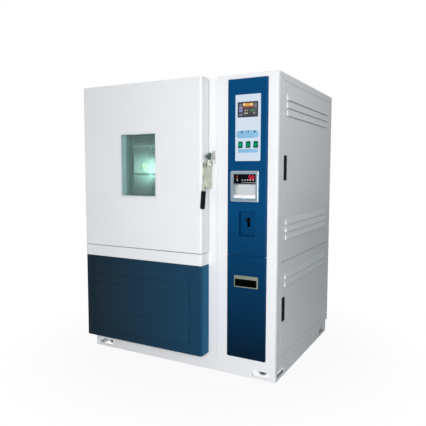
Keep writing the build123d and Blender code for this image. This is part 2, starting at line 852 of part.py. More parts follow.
# Door latch on the right edge of the door
latch_low = 1085.0
latch_high = 1230.0
latch_width = 24.0
latch_front = -70.0
latch_rear = -16.0
lever_pivot_y = -48.0
lever_pivot_z = 1208.0
lever_pin_radius = 4.0
lever_width = 10.0
grip_length = 100.0
grip_start = 8.0
grip_radius = 13.0
grip_top_y = -84.0
grip_top_z = 1078.0
grip_lean = 8.0
roller_z = 1238.0
roller_y = -34.0


def make_latch_housing():
    """A pressed cover on the door edge, slotted along its front for the lever."""
    x1 = front_width + latch_width
    outer = block(front_width, x1, latch_front, latch_rear, latch_low, latch_high)
    outer = fillet(outer.edges().filter_by(Axis.X), 12)
    middle = front_width + latch_width / 2
    slot = block(
        middle - lever_width / 2 - 1, middle + lever_width / 2 + 1, latch_front - 1, latch_rear - 4,
        latch_low - 1, latch_high + 1,
    )
    slot += block(
        middle - lever_width / 2 - 1, middle + lever_width / 2 + 1, latch_front - 1, latch_rear + 1,
        lever_pivot_z - 30, latch_high + 1,
    )
    return outer - slot + rod_x(front_width + 2, x1 + 2, lever_pivot_y, lever_pivot_z, lever_pin_radius)


def lever_outline():
    """The lever from its roller end, through the pivot and out to the root of the grip."""
    return [
        (roller_y - 7, roller_z + 4), (roller_y + 7, roller_z + 4), (lever_pivot_y + 13, lever_pivot_z),
        (lever_pivot_y + 4, lever_pivot_z - 16), (grip_top_y + 6, grip_top_z + 4),
        (grip_top_y - 6, grip_top_z + 6), (lever_pivot_y - 16, lever_pivot_z - 6),
        (lever_pivot_y - 10, lever_pivot_z + 16),
    ]


def make_latch_lever():
    middle = front_width + latch_width / 2
    x0 = middle - lever_width / 2
    x1 = middle + lever_width / 2
    lever = plate_x(lever_outline(), x0, x1)
    lever += rod_x(x0, x1, roller_y, roller_z, 9)
    tang = Pos(middle, grip_top_y, grip_top_z) * Rot(-grip_lean, 0, 0) * Pos(0, 0, -30) * Box(8, 10, 70)
    lever += tang
    return lever - rod_x(x0 - 1, x1 + 1, lever_pivot_y, lever_pivot_z, lever_pin_radius + running_fit)


def make_latch_grip():
    """A moulded grip pushed over the lever's tang."""
    middle = front_width + latch_width / 2
    place = Pos(middle, grip_top_y, grip_top_z) * Rot(-grip_lean, 0, 0)
    body = Pos(0, 0, -grip_start - grip_length / 2) * Box(grip_radius * 1.8, grip_radius * 2, grip_length)
    body = fillet(body.edges().filter_by(Axis.Z), 9)
    body = fillet(body.faces().sort_by(Axis.Z)[0].edges(), 7)
    tang = Pos(0, 0, -30) * Box(8, 10, 70)
    return place * (body - tang)


def make_latch_strike():
    """A hooked keeper screwed to the frame beside the door, above the latch roller."""
    x0 = front_width + 2
    x1 = front_width + latch_width + 20
    plate = block(x0, x1, -4, 0, roller_z - 20, roller_z + 62)
    middle = front_width + latch_width / 2
    hook = [
        (-4, roller_z + 50), (-4, roller_z + 14), (-22, roller_z + 12), (-50, roller_z + 22),
        (-56, roller_z + 34), (-48, roller_z + 36), (-30, roller_z + 30), (-18, roller_z + 46),
    ]
    return plate + plate_x(hook, middle - 7, middle + 7)


# Fixed front pieces below the door
sill_wall = 2.0


def make_sill_band():
    """The drip sill under the door: a folded tray with rounded upright edges."""
    outer = block(0, front_width, -front_proud, 0, sill_bottom, door_bottom - reveal)
    outer = rounded_uprights(outer, edge_radius, -front_proud)
    inside = block(
        sill_wall, front_width - sill_wall, -front_proud + sill_wall, 1,
        sill_bottom + sill_wall, door_bottom - reveal - sill_wall,
    )
    inside = rounded_uprights(inside, edge_radius - sill_wall, -front_proud + sill_wall)
    return outer - inside


field_left = 82.0
field_right = front_width - 84.5
field_low = 176.0
field_blades = 7
field_high = sill_bottom - 54.0
blade_pitch = (field_high - field_low) / field_blades
blade_rise = 9.0
blade_land = 6.0
border = 24.0
field_sink = 2.0


def make_louvre_panel():
    """The lift-off plant cover: a deep tray with pressed louvres in a sunk field."""
    high = sill_bottom - reveal
    face = -front_proud
    outer = rounded_uprights(block(0, front_width, face, 0, louvre_bottom, high), edge_radius, face)
    inside = block(sheet, front_width - sheet, face + sheet, 1, louvre_bottom + sheet, high - sheet)
    panel = outer - rounded_uprights(inside, edge_radius - sheet, face + sheet)
    x0 = field_left - border
    x1 = field_right + border
    z0 = field_low - border
    z1 = field_high + border
    panel -= block(x0, x1, face - 1, face + sheet + 1, z0, z1)
    floor = face + field_sink
    panel += block(x0 - sheet, x1 + sheet, floor, floor + sheet, z0 - sheet, z1 + sheet)
    for i in range(field_blades):
        low = field_low + i * blade_pitch
        hood, space = louvre_hood(low + blade_land, low + blade_pitch, blade_rise)
        panel += plate_x([(floor - out, z) for out, z in hood], field_left, field_right)
        panel -= plate_x([(floor - out, z) for out, z in space], field_left + sheet, field_right - sheet)
    return panel


# Control column
plate_left = column_left + 50.2
plate_right = plate_left + 150.0
plate_low = column_split + 0.5413 * (column_top - column_split)
plate_high = plate_low + 360.5
plate_thick = 3.0
screen_left = plate_left + 13.7
screen_right = screen_left + 121.0
screen_high = plate_high - 40.0
screen_low = screen_high - 83.0
rocker_left = [plate_left + 16.0, plate_left + 62.5, plate_left + 107.5]
rocker_width = 30.5
rocker_low = plate_low + 69.0
rocker_height = 40.0
rocker_pin_radius = 2.0
well_wall = 1.5
well_rear = 7.0
recorder_left = column_left + 25.2
recorder_right = recorder_left + 168.0
recorder_low = column_split + 0.3111 * (column_top - column_split)
recorder_high = recorder_low + 170.0
recorder_body = 144.0
pocket_left = column_left + 74.2
pocket_right = pocket_left + 95.0
pocket_low = column_split + 0.1138 * (column_top - column_split)
pocket_high = pocket_low + 138.0
pocket_depth = 30.0
toggle_width = 16.0
toggle_low = pocket_low + 50.0
toggle_height = 50.0
pull_left = column_left + 47.2
pull_right = pull_left + 146.0
pull_high = column_split - 114.0
pull_low = pull_high - 67.0
pull_depth = 34.0
cutout_gap = 0.5

rocker_pivot_y = -fascia_proud - plate_thick + 3.0
rocker_pivot_z = rocker_low + rocker_height / 2
recorder_case_left = (recorder_left + recorder_right - recorder_body) / 2
recorder_case_low = (recorder_low + recorder_high - recorder_body) / 2
fascia_back = frame_depth - 16.0


def column_tray(z0, z1, gap):
    """A folded blue panel whose upright edges are bevelled back to the white frame."""
    outline = [
        (column_left, -gap), (column_left + fascia_bevel, -fascia_proud),
        (column_right - fascia_bevel, -fascia_proud), (column_right, -gap),
    ]
    slab = extrude(Pos(0, 0, z0) * Polygon(*outline, align=None), amount=z1 - z0)
    back = block(
        column_left + fascia_bevel + 1, column_right - fascia_bevel - 1, -gap - 0.1, fascia_back,
        z0 + fascia_bevel + 1, z1 - fascia_bevel - 1,
    )
    tray = slab + back
    return tray - block(
        column_left + fascia_bevel + 1 + sheet, column_right - fascia_bevel - 1 - sheet,
        -fascia_proud + sheet, fascia_back + 1, z0 + fascia_bevel + 1 + sheet, z1 - fascia_bevel - 1 - sheet,
    )


def make_column_fascia():
    tray = column_tray(column_split + reveal / 2, column_top, 0)
    face = -fascia_proud
    tray -= block(screen_left, screen_right, face - 1, face + 4, screen_low, screen_high)
    for left in rocker_left:
        tray -= block(
            left, left + rocker_width, face - 1, face + 4, rocker_low, rocker_low + rocker_height
        )
    tray -= block(
        recorder_case_left - cutout_gap, recorder_case_left + recorder_body + cutout_gap, face - 1, face + 4,
        recorder_case_low - cutout_gap, recorder_case_low + recorder_body + cutout_gap,
    )
    pocket = block(
        pocket_left - sheet, pocket_right + sheet, face + 1, face + pocket_depth, pocket_low - sheet,
        pocket_high + sheet,
    )
    tray += pocket
    tray -= block(pocket_left, pocket_right, face - 1, face + pocket_depth - sheet, pocket_low, pocket_high)
    breaker_left = (pocket_left + pocket_right) / 2
    return tray - block(
        breaker_left - toggle_width / 2 - 1, breaker_left + toggle_width / 2 + 1, face,
        face + pocket_depth + 1, toggle_low - 2, toggle_low + toggle_height + 2,
    )


toggle_x = (pocket_left + pocket_right) / 2
toggle_pivot_y = -fascia_proud + pocket_depth + 10.0
toggle_pivot_z = toggle_low + toggle_height / 2


def make_breaker():
    """The mains breaker behind the pocket, with the pin that its toggle turns on."""
    back = -fascia_proud + pocket_depth
    body = block(toggle_x - 40, toggle_x + 40, back, back + 60, toggle_pivot_z - 65, toggle_pivot_z + 65)
    body -= block(
        toggle_x - toggle_width / 2 - 1, toggle_x + toggle_width / 2 + 1, back - 1, back + 40,
        toggle_low - 2, toggle_low + toggle_height + 2,
    )
    return body + rod_x(toggle_x - 12, toggle_x + 12, toggle_pivot_y, toggle_pivot_z, rocker_pin_radius)


def make_breaker_toggle():
    """A ridged toggle that stands up when the mains is on."""
    half = toggle_width / 2
    hub = rod_x(toggle_x - half, toggle_x + half, toggle_pivot_y, toggle_pivot_z, 9)
    tip_y = -fascia_proud + 10
    arm = plate_x(
        [
            (toggle_pivot_y, toggle_pivot_z - 7), (toggle_pivot_y, toggle_pivot_z + 7),
            (tip_y, toggle_pivot_z + 22), (tip_y - 2, toggle_pivot_z + 9),
        ],
        toggle_x - half, toggle_x + half,
    )
    return hub + arm - rod_x(
        toggle_x - half - 1, toggle_x + half + 1, toggle_pivot_y, toggle_pivot_z,
        rocker_pin_radius + running_fit,
    )


def make_control_plate():
    face = -fascia_proud - plate_thick
    plate = block(plate_left, plate_right, face, -fascia_proud, plate_low, plate_high)
    plate = fillet(plate.edges().filter_by(Axis.Y), 4)
    plate -= block(screen_left, screen_right, face - 1, 0, screen_low, screen_high)
    for left in rocker_left:
        right = left + rocker_width
        high = rocker_low + rocker_height
        plate += block(left, right, -fascia_proud, well_rear + well_wall, rocker_low, high)
        plate -= block(
            left + well_wall, right - well_wall, face - 1, well_rear, rocker_low + well_wall, high - well_wall
        )
        plate += rod_x(left + 0.5, right - 0.5, rocker_pivot_y, rocker_pivot_z, rocker_pin_radius)
    return plate


def make_display_unit():
    """The touch display: a moulded bezel round a sunk screen, with its case behind."""
    face = -fascia_proud - plate_thick - 1.5
    bezel = block(screen_left + 0.3, screen_right - 0.3, face, 18, screen_low + 0.3, screen_high - 0.3)
    return bezel - block(
        screen_left + 7, screen_right - 7, face - 1, face + 2, screen_low + 7, screen_high - 7
    )


def make_rocker(left):
    """A rocker that pivots on its well's pin, with its upper end pressed in."""
    x0 = left + 2
    x1 = left + rocker_width - 2
    half = rocker_height / 2 - 3
    face = rocker_pivot_y - 5
    profile = [
        (rocker_pivot_y + 5, rocker_pivot_z - 8), (face - 2, rocker_pivot_z - half),
        (face, rocker_pivot_z), (face + 2, rocker_pivot_z + half), (rocker_pivot_y + 5, rocker_pivot_z + 8),
    ]
    rocker = plate_x(profile, x0, x1)
    return rocker - rod_x(x0 - 1, x1 + 1, rocker_pivot_y, rocker_pivot_z, rocker_pin_radius + running_fit)


recorder_face = -fascia_proud - 10.0
recorder_door_thick = 7.5
recorder_hinge_x = recorder_right - recorder_door_thick / 2
recorder_hinge_y = recorder_face + recorder_door_thick / 2
recorder_pin_radius = 2.0
recorder_rim = 12.0


def make_recorder_case():
    """The square recorder body, open in front, with two lugs for the door's hinge pins."""
    case = block(
        recorder_case_left, recorder_case_left + recorder_body, recorder_face + 8, 150,
        recorder_case_low, recorder_case_low + recorder_body,
    )
    case -= block(
        recorder_case_left + 3, recorder_case_left + recorder_body - 3, recorder_face + 7, 120,
        recorder_case_low + 3, recorder_case_low + recorder_body - 3,
    )
    flange = block(
        recorder_left, recorder_right, recorder_face + 8, -fascia_proud, recorder_low, recorder_high
    )
    flange -= block(
        recorder_case_left + 3, recorder_case_left + recorder_body - 3, recorder_face, 0,
        recorder_case_low + 3, recorder_case_low + recorder_body - 3,
    )
    case += flange
    for low in (recorder_low, recorder_high - 5):
        case += block(
            recorder_hinge_x - 4, recorder_right, recorder_face, recorder_face + 8.5, low, low + 5
        )
    for low in (recorder_low + 2, recorder_high - 13):
        case += rod_z(recorder_hinge_x, recorder_hinge_y, low, low + 11, recorder_pin_radius)
    return case


def make_recorder_door():
    """A light metal frame with a clear window, hung on the right."""
    z0 = recorder_low + 5.5
    z1 = recorder_high - 5.5
    frame = block(recorder_left, recorder_right, recorder_face, recorder_face + recorder_door_thick, z0, z1)
    hinge_edges = frame.edges().filter_by(Axis.Z).sort_by(Axis.X)[-2:]
    frame = fillet(hinge_edges, recorder_door_thick / 2 - 0.05)
    frame -= block(
        recorder_left + recorder_rim, recorder_right - recorder_rim, recorder_face + 3, recorder_face + 9,
        z0 + recorder_rim, z1 - recorder_rim,
    )
    frame -= block(
        recorder_left + recorder_rim + 3, recorder_right - recorder_rim - 3, recorder_face - 1,
        recorder_face + 4, z0 + recorder_rim, z1 - recorder_rim,
    )
    bore = rod_z(recorder_hinge_x, recorder_hinge_y, z0 - 1, z1 + 1, recorder_pin_radius + running_fit)
    return frame - bore


def make_recorder_chart():
    """The display head above and the chart paper over its sloping platen below."""
    x0 = recorder_case_left + 3.3
    x1 = recorder_case_left + recorder_body - 3.3
    low = recorder_case_low + 3.3
    high = recorder_case_low + recorder_body - 3.3
    face = recorder_face + 8
    head = block(x0, x1, face, 60, high - 56, high)
    platen = plate_x([(face + 6, low), (110, low), (110, high - 60), (face + 26, high - 60)], x0, x1)
    return [head, platen]


def make_drawer_front():
    tray = column_tray(column_bottom, column_split - reveal / 2, seat_gap)
    face = -fascia_proud
    return tray - block(pull_left + 3, pull_right - 3, face - 1, face + 4, pull_low + 3, pull_high - 3)


def make_drawer_pull():
    """A recessed pull: a bright rim with a deep finger well."""
    face = -fascia_proud
    rim = block(pull_left, pull_right, face - 2, face, pull_low, pull_high)
    well = block(
        pull_left + 3.3, pull_right - 3.3, face, face + pull_depth, pull_low + 3.3, pull_high - 3.3
    )
    pull = rim + well - block(
        pull_left + 5, pull_right - 8, face - 3, face + pull_depth - sheet, pull_low + 5, pull_high - 20
    )
    pull -= block(
        pull_left + 5, pull_right - 8, face + 8, face + pull_depth - sheet, pull_low + 5, pull_high - 6
    )
    return fillet(pull.edges().filter_by(Axis.Y).sort_by_distance((pull_left, face - 2, pull_high))[0], 3)


tank_left = column_left + 25.2
tank_right = tank_left + 188.0
tank_front = 60.0
tank_rear = 430.0
tank_low = 150.0
tank_high = pull_low - 50.0
rail_length = 440.0


def make_water_tank():
    """The humidifier's water tank in its cradle, with a screw cap and a runner on each side."""
    tank = block(tank_left, tank_right, tank_front, tank_rear, tank_low, tank_high)
    tank = fillet(tank.edges().filter_by(Axis.Z), 18)
    tank += rod_z((tank_left + tank_right) / 2, tank_front + 90, tank_high - 1, tank_high + 22, 34)
    tank += block(
        tank_left + 20, tank_right - 20, -fascia_proud + sheet, tank_front + 1, tank_low + 10, tank_low + 70
    )
    for x0, x1 in ((tank_left - 5, tank_left + 1), (tank_right - 1, tank_right + 5)):
        tank += block(x0, x1, tank_front + 20, tank_rear, tank_low + 30, tank_low + 50)
    return tank


def make_drawer_rails():
    """Channel rails on each side of the tank, standing on the deck."""
    rails = []
    for side in (-1, 1):
        inner = tank_left - 5.3 if side < 0 else tank_right + 5.3
        x0, x1 = sorted((inner, inner + side * 3))
        lip0, lip1 = sorted((inner - side * 4.3, inner))
        rail = block(x0, x1, frame_depth + seat_gap, rail_length, rail_top, tank_low + 60)
        rail += block(lip0, lip1, frame_depth + seat_gap, rail_length, tank_low + 26.7, tank_low + 29.7)
        rail += block(lip0, lip1, frame_depth + seat_gap, rail_length, tank_low + 50.3, tank_low + 53.3)
        rails.append(rail)
    return rails


nodes = {
    "base_frame": make_base_frame(),
    "levelling_feet": make_levelling_feet(),
    "rear_caster_forks": [make_fork(x, caster_y["rear"], True) for x in caster_x.values()],
    "front_frame": make_front_frame(),
    "side_frame": make_side_frame(),
    "chamber_wrap": make_chamber_wrap(),
    "rear_cover": make_rear_cover(),
    "chamber_liner": make_chamber_liner(),
    "chamber_insulation": make_chamber_insulation(),
    "air_duct_panel": make_air_duct_panel(),
    "circulation_fan": make_circulation_fan(),
    "fan_motor": make_fan_motor(),
    "evaporator_coil": make_evaporator_coil(),
    "shelf_standards": make_shelf_standards(),
    "wire_shelves": [make_shelf(level) for level in shelf_levels],
    "chamber_lamp": make_chamber_lamp(),
    "compressor": make_compressor(),
    "condenser_coil": make_condenser_coil(),
    "condenser_fan": make_condenser_fan(),
    "door_shell": make_door_shell(),
    "door_insulation": make_door_insulation(),
    "door_liner": make_door_liner(),
    "door_gasket": make_door_gasket(),
    "window_trim": make_window_trim(),
    "window_glazing": make_window_glazing(),
    "cabinet_hinge_leaves": make_cabinet_hinge_leaves(),
    "door_hinge_leaves": make_door_hinge_leaves(),
    "latch_housing": make_latch_housing(),
    "latch_lever": make_latch_lever(),
    "latch_grip": make_latch_grip(),
    "latch_strike": make_latch_strike(),
    "sill_band": make_sill_band(),
    "louvre_panel": make_louvre_panel(),
    "column_fascia": make_column_fascia(),
    "control_plate": make_control_plate(),
    "display_unit": make_display_unit(),
    "recorder_case": make_recorder_case(),
    "recorder_door": make_recorder_door(),
    "recorder_chart": make_recorder_chart(),
    "breaker": make_breaker(),
    "breaker_toggle": make_breaker_toggle(),
    "drawer_front": make_drawer_front(),
    "drawer_pull": make_drawer_pull(),
    "water_tank": make_water_tank(),
    "drawer_rails": make_drawer_rails(),
    "upper_side_door": make_side_door("upper", [(upper_louvre_top, 3), (middle_louvre_top, 3)]),
    "lower_side_door": make_side_door("lower", [(lower_louvre_top, 2)]),
}
for side_name in ("upper", "lower"):
    nodes[f"{side_name}_latch_cup"] = make_latch_cup(side_name)
    nodes[f"{side_name}_latch_paddle"] = make_paddle(side_name)
for number, rocker_x in enumerate(rocker_left, 1):
    nodes[f"rocker_{number}"] = make_rocker(rocker_x)
for end, fork_y in caster_y.items():
    for hand, fork_x in caster_x.items():
        nodes[f"{end}_{hand}_wheel"] = make_wheel(fork_x, fork_y)
for hand, fork_x in caster_x.items():
    nodes[f"front_{hand}_fork"] = make_fork(fork_x, caster_y["front"], False)

# The latch grip reaches furthest forward, so the footprint's middle is worked out from it
front_reach = -grip_top_y + (grip_start + grip_length) * sin(radians(grip_lean)) + grip_radius
to_footprint = Pos(-cabinet_width / 2, -(body_depth - front_reach) / 2, 0)
os.makedirs("parts", exist_ok=True)
for node_name, shape in nodes.items():
    solids = shape if isinstance(shape, list) else [shape]
    export_step(Compound(children=[to_footprint * solid for solid in solids]), f"parts/{node_name}.step")
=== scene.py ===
"""An environmental test chamber, dressed round its CAD model. Metres, +Z up, front towards -Y."""

import math

import bpy
from mathutils import Matrix, Vector


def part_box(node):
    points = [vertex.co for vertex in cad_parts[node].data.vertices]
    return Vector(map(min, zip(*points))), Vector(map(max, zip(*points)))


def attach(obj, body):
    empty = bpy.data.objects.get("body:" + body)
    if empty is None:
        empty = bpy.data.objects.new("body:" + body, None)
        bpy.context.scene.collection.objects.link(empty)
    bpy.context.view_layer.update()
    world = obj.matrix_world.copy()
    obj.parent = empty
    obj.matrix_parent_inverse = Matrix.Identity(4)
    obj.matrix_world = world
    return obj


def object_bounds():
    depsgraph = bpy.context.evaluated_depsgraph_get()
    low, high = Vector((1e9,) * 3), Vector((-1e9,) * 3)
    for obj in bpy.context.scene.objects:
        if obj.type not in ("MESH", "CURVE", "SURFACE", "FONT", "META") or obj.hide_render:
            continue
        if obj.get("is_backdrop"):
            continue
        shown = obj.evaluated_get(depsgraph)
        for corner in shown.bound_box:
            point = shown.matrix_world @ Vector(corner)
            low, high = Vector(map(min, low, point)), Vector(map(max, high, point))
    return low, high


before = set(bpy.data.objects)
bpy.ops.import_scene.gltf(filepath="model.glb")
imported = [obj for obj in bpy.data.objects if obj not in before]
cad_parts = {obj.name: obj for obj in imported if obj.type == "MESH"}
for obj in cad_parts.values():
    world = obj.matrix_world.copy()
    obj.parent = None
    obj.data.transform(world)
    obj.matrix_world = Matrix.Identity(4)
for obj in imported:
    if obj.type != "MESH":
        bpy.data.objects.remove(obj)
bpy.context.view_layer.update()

# Studio: a pale floor under a white sweep, a large soft lamp right of the front, a weak one high on
# the right and one high behind on the left. A dark flag stands low on the right, out of sight, and
# the camera is at the height of a person's chest.


def combine(tree, operation, first, second):
    """A math node on two sources, each of them a socket or a plain number."""
    node = tree.nodes.new("ShaderNodeMath")
    node.operation = operation
    for socket, source in zip(node.inputs, (first, second)):
        if isinstance(source, float):
            socket.default_value = source
        else:
            tree.links.new(source, socket)
    return node.outputs[0]


world = bpy.data.worlds.new("studio")
bpy.context.scene.world = world
world.use_nodes = True
sky = world.node_tree
sky_light = sky.nodes["Background"]
sky_light.inputs["Color"].default_value = (0.84, 0.96, 1.0, 1.0)
sky_light.inputs["Strength"].default_value = 0.24
backdrop = sky.nodes.new("ShaderNodeBackground")
backdrop.inputs["Color"].default_value = (1.0, 1.0, 1.0, 1.0)
rays = sky.nodes.new("ShaderNodeLightPath")
mirrored = combine(sky, "MULTIPLY", rays.outputs["Is Glossy Ray"], 0.6)
seen = combine(sky, "MAXIMUM", rays.outputs["Is Camera Ray"], mirrored)
seen_through = combine(sky, "MAXIMUM", seen, rays.outputs["Is Transmission Ray"])
sweep = sky.nodes.new("ShaderNodeMixShader")
sky.links.new(seen_through, sweep.inputs[0])
sky.links.new(sky_light.outputs[0], sweep.inputs[1])
sky.links.new(backdrop.outputs[0], sweep.inputs[2])
sky.links.new(sweep.outputs[0], sky.nodes["World Output"].inputs[0])

bpy.ops.object.select_all(action="DESELECT")
bpy.ops.mesh.primitive_plane_add(size=30.0, location=(0.0, 0.0, 0.0))
floor = bpy.context.object
floor.name = "studio_floor"
floor_paint = bpy.data.materials.new("studio_floor_paint")
floor_paint.use_nodes = True
ground = floor_paint.node_tree
floor_skin = ground.nodes["Principled BSDF"]
floor_skin.inputs["Roughness"].default_value = 0.9
floor_place = ground.nodes.new("ShaderNodeTexCoord").outputs["Object"]
floor_speckle = ground.nodes.new("ShaderNodeTexNoise")
floor_speckle.inputs["Scale"].default_value = 30.0
floor_tone = ground.nodes.new("ShaderNodeMapRange")
floor_tone.inputs["To Min"].default_value = 0.60
floor_tone.inputs["To Max"].default_value = 0.64
ground.links.new(floor_place, floor_speckle.inputs["Vector"])
ground.links.new(floor_speckle.outputs["Fac"], floor_tone.inputs["Value"])
ground.links.new(floor_tone.outputs[0], floor_skin.inputs["Base Color"])
floor_away = ground.nodes.new("ShaderNodeVectorMath")
floor_away.operation = "LENGTH"
ground.links.new(floor_place, floor_away.inputs[0])
floor_fade = ground.nodes.new("ShaderNodeMapRange")
floor_fade.interpolation_type = "SMOOTHSTEP"
floor_fade.inputs["From Min"].default_value = 0.75
floor_fade.inputs["From Max"].default_value = 1.5
floor_fade.inputs["To Min"].default_value = 0.92
ground.links.new(floor_away.outputs["Value"], floor_fade.inputs["Value"])
floor_seen = ground.nodes.new("ShaderNodeLightPath").outputs["Is Camera Ray"]
floor_glow = ground.nodes.new("ShaderNodeEmission")
floor_mix = ground.nodes.new("ShaderNodeMixShader")
floor_white = combine(ground, "MULTIPLY", floor_fade.outputs[0], floor_seen)
ground.links.new(floor_white, floor_mix.inputs[0])
ground.links.new(floor_skin.outputs[0], floor_mix.inputs[1])
ground.links.new(floor_glow.outputs[0], floor_mix.inputs[2])
ground.links.new(floor_mix.outputs[0], ground.nodes["Material Output"].inputs["Surface"])
floor.data.materials.append(floor_paint)
floor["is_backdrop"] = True


def soft_lamp(name, place, target, width, power, colour):
    lamp = bpy.data.lights.new(name, "AREA")
    lamp.shape = "SQUARE"
    lamp.size = width
    lamp.energy = power
    lamp.color = colour
    holder = bpy.data.objects.new(name, lamp)
    bpy.context.scene.collection.objects.link(holder)
    holder.location = place
    holder.rotation_euler = (Vector(target) - Vector(place)).to_track_quat("-Z", "Y").to_euler()


soft_lamp(
    "front_lamp", (1.9, -4.1, 1.35), (0.0, -0.5, 0.8),
    width=2.0, power=142.0, colour=(1.0, 0.99, 0.98),
)
soft_lamp(
    "side_lamp", (1.6, -0.6, 2.9), (0.65, 0.0, 1.5),
    width=1.0, power=6.0, colour=(1.0, 1.0, 0.99),
)
soft_lamp(
    "rear_lamp", (-2.9, 2.9, 3.2), (-0.2, 0.2, 1.0),
    width=2.0, power=75.0, colour=(1.0, 1.0, 1.0),
)

bpy.ops.object.select_all(action="DESELECT")
bpy.ops.mesh.primitive_plane_add(size=1.0, rotation=(0.0, math.radians(90.0), 0.0))
flag = bpy.context.object
flag.name = "studio_flag"
flag.scale = (0.9, 3.4, 1.0)
flag.location = (1.75, 0.9, 0.46)
flag.visible_camera = False
flag_cloth = bpy.data.materials.new("flag_cloth")
flag_cloth.use_nodes = True
flag_skin = flag_cloth.node_tree.nodes["Principled BSDF"]
flag_skin.inputs["Base Color"].default_value = (0.01, 0.08, 0.09, 1.0)
flag.data.materials.append(flag_cloth)
flag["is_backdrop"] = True

camera = bpy.data.objects.new("camera", bpy.data.cameras.new("camera"))
bpy.context.scene.collection.objects.link(camera)
camera.location = (1.55475, -2.90811, 1.1763)
camera.data.lens = 40.56
camera.data.sensor_width = 36.0
heading, tilt, roll = (math.radians(angle) for angle in (28.25, 85.16, 0.14))
aim = Matrix.Rotation(heading, 3, "Z") @ Matrix.Rotation(tilt, 3, "X")
camera.rotation_euler = (aim @ Matrix.Rotation(roll, 3, "Z")).to_euler()
bpy.context.scene.camera = camera
bpy.context.scene.view_settings.view_transform = "Standard"


# Welded base: white powder-coated sheet steel, folded and welded, open underneath.
# It carries everything, and four bosses in it are threaded for the levelling feet.
def new_finish(name, colour, roughness, metallic=0.0):
    finish = bpy.data.materials.new(name)
    finish.use_nodes = True
    skin = finish.node_tree.nodes["Principled BSDF"]
    skin.inputs["Base Color"].default_value = (*colour, 1.0)
    skin.inputs["Roughness"].default_value = roughness
    skin.inputs["Metallic"].default_value = metallic
    return finish


def pattern(finish, kind, scale, stretch=(1.0, 1.0, 1.0), **inputs):
    """A texture of this kind, placed by the piece's own coordinates."""
    nodes = finish.node_tree.nodes
    place = nodes.new("ShaderNodeTexCoord")
    fit = nodes.new("ShaderNodeMapping")
    fit.inputs["Scale"].default_value = stretch
    texture = nodes.new(kind)
    texture.inputs["Scale"].default_value = scale
    for name, value in inputs.items():
        texture.inputs[name].default_value = value
    finish.node_tree.links.new(place.outputs["Object"], fit.inputs["Vector"])
    finish.node_tree.links.new(fit.outputs["Vector"], texture.inputs["Vector"])
    return texture


def vary_colour(finish, source, dark, light, low=0.3, high=0.7):
    ramp = finish.node_tree.nodes.new("ShaderNodeValToRGB")
    ramp.color_ramp.elements[0].position = low
    ramp.color_ramp.elements[0].color = (*dark, 1.0)
    ramp.color_ramp.elements[1].position = high
    ramp.color_ramp.elements[1].color = (*light, 1.0)
    finish.node_tree.links.new(source, ramp.inputs["Fac"])
    skin = finish.node_tree.nodes["Principled BSDF"]
    finish.node_tree.links.new(ramp.outputs["Color"], skin.inputs["Base Color"])
    return ramp


def vary_roughness(finish, source, low, high):
    spread = finish.node_tree.nodes.new("ShaderNodeMapRange")
    spread.inputs["To Min"].default_value = low
    spread.inputs["To Max"].default_value = high
    finish.node_tree.links.new(source, spread.inputs["Value"])
    skin = finish.node_tree.nodes["Principled BSDF"]
    finish.node_tree.links.new(spread.outputs[0], skin.inputs["Roughness"])


def raise_skin(finish, source, height, strength=1.0, edge=0.0):
    """Lift the surface by the texture, and round sharp edges by this radius."""
    nodes = finish.node_tree.nodes
    bump = nodes.new("ShaderNodeBump")
    bump.inputs["Strength"].default_value = strength
    bump.inputs["Distance"].default_value = height
    finish.node_tree.links.new(source, bump.inputs["Height"])
    if edge:
        rounding = nodes.new("ShaderNodeBevel")
        rounding.samples = 4
        rounding.inputs["Radius"].default_value = edge
        finish.node_tree.links.new(rounding.outputs["Normal"], bump.inputs["Normal"])
    finish.node_tree.links.new(bump.outputs["Normal"], nodes["Principled BSDF"].inputs["Normal"])


def powder_coat(name, colour, roughness, gloss):
    """Baked powder paint: faintly uneven in tone, with a fine orange-peel skin."""
    finish = new_finish(name, colour, roughness)
    finish.node_tree.nodes["Principled BSDF"].inputs["Specular IOR Level"].default_value = gloss
    clouds = pattern(finish, "ShaderNodeTexNoise", 2.2, Detail=4.0)
    vary_colour(finish, clouds.outputs["Fac"], [c * 0.965 for c in colour], colour)
    smears = pattern(finish, "ShaderNodeTexNoise", 14.0, (1.0, 1.0, 0.4), Detail=3.0)
    vary_roughness(finish, smears.outputs["Fac"], roughness - 0.06, roughness + 0.08)
    peel = pattern(finish, "ShaderNodeTexNoise", 620.0, Detail=1.0)
    raise_skin(finish, peel.outputs["Fac"], 0.00006, 0.35, 0.0009)
    return finish


def dress(finish, *nodes):
    for node in nodes:
        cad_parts[node].data.materials.clear()
        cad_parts[node].data.materials.append(finish)


white_coat = powder_coat("white_powder_coat", (0.80, 0.805, 0.83), 0.42, 0.4)
dress(white_coat, "base_frame")

# Levelling feet: zinc-plated screws with a lock nut and a pressed pad, screwed into the base.
# They carry the cabinet and hold the casters just clear of the floor.


def plated_steel(name, colour, roughness):
    """Bright zinc plate, with the faint crystals that it shows up close."""
    finish = new_finish(name, colour, roughness, 1.0)
    crystals = pattern(finish, "ShaderNodeTexVoronoi", 160.0)
    vary_colour(finish, crystals.outputs["Distance"], [c * 0.86 for c in colour], colour, 0.1, 0.6)
    handling = pattern(finish, "ShaderNodeTexNoise", 55.0, Detail=3.0)
    vary_roughness(finish, handling.outputs["Fac"], roughness - 0.08, roughness + 0.12)
    raise_skin(finish, handling.outputs["Fac"], 0.00005, 0.4, 0.0006)
    return finish


zinc = plated_steel("zinc_plate", (0.62, 0.65, 0.67), 0.34)
dress(zinc, "levelling_feet", "rear_caster_forks", "front_left_fork", "front_right_fork")

# Caster wheels: grey-white nylon treads on dark moulded hubs, each turning on its fork's axle.
# The front forks also swivel under the base on their kingpins.


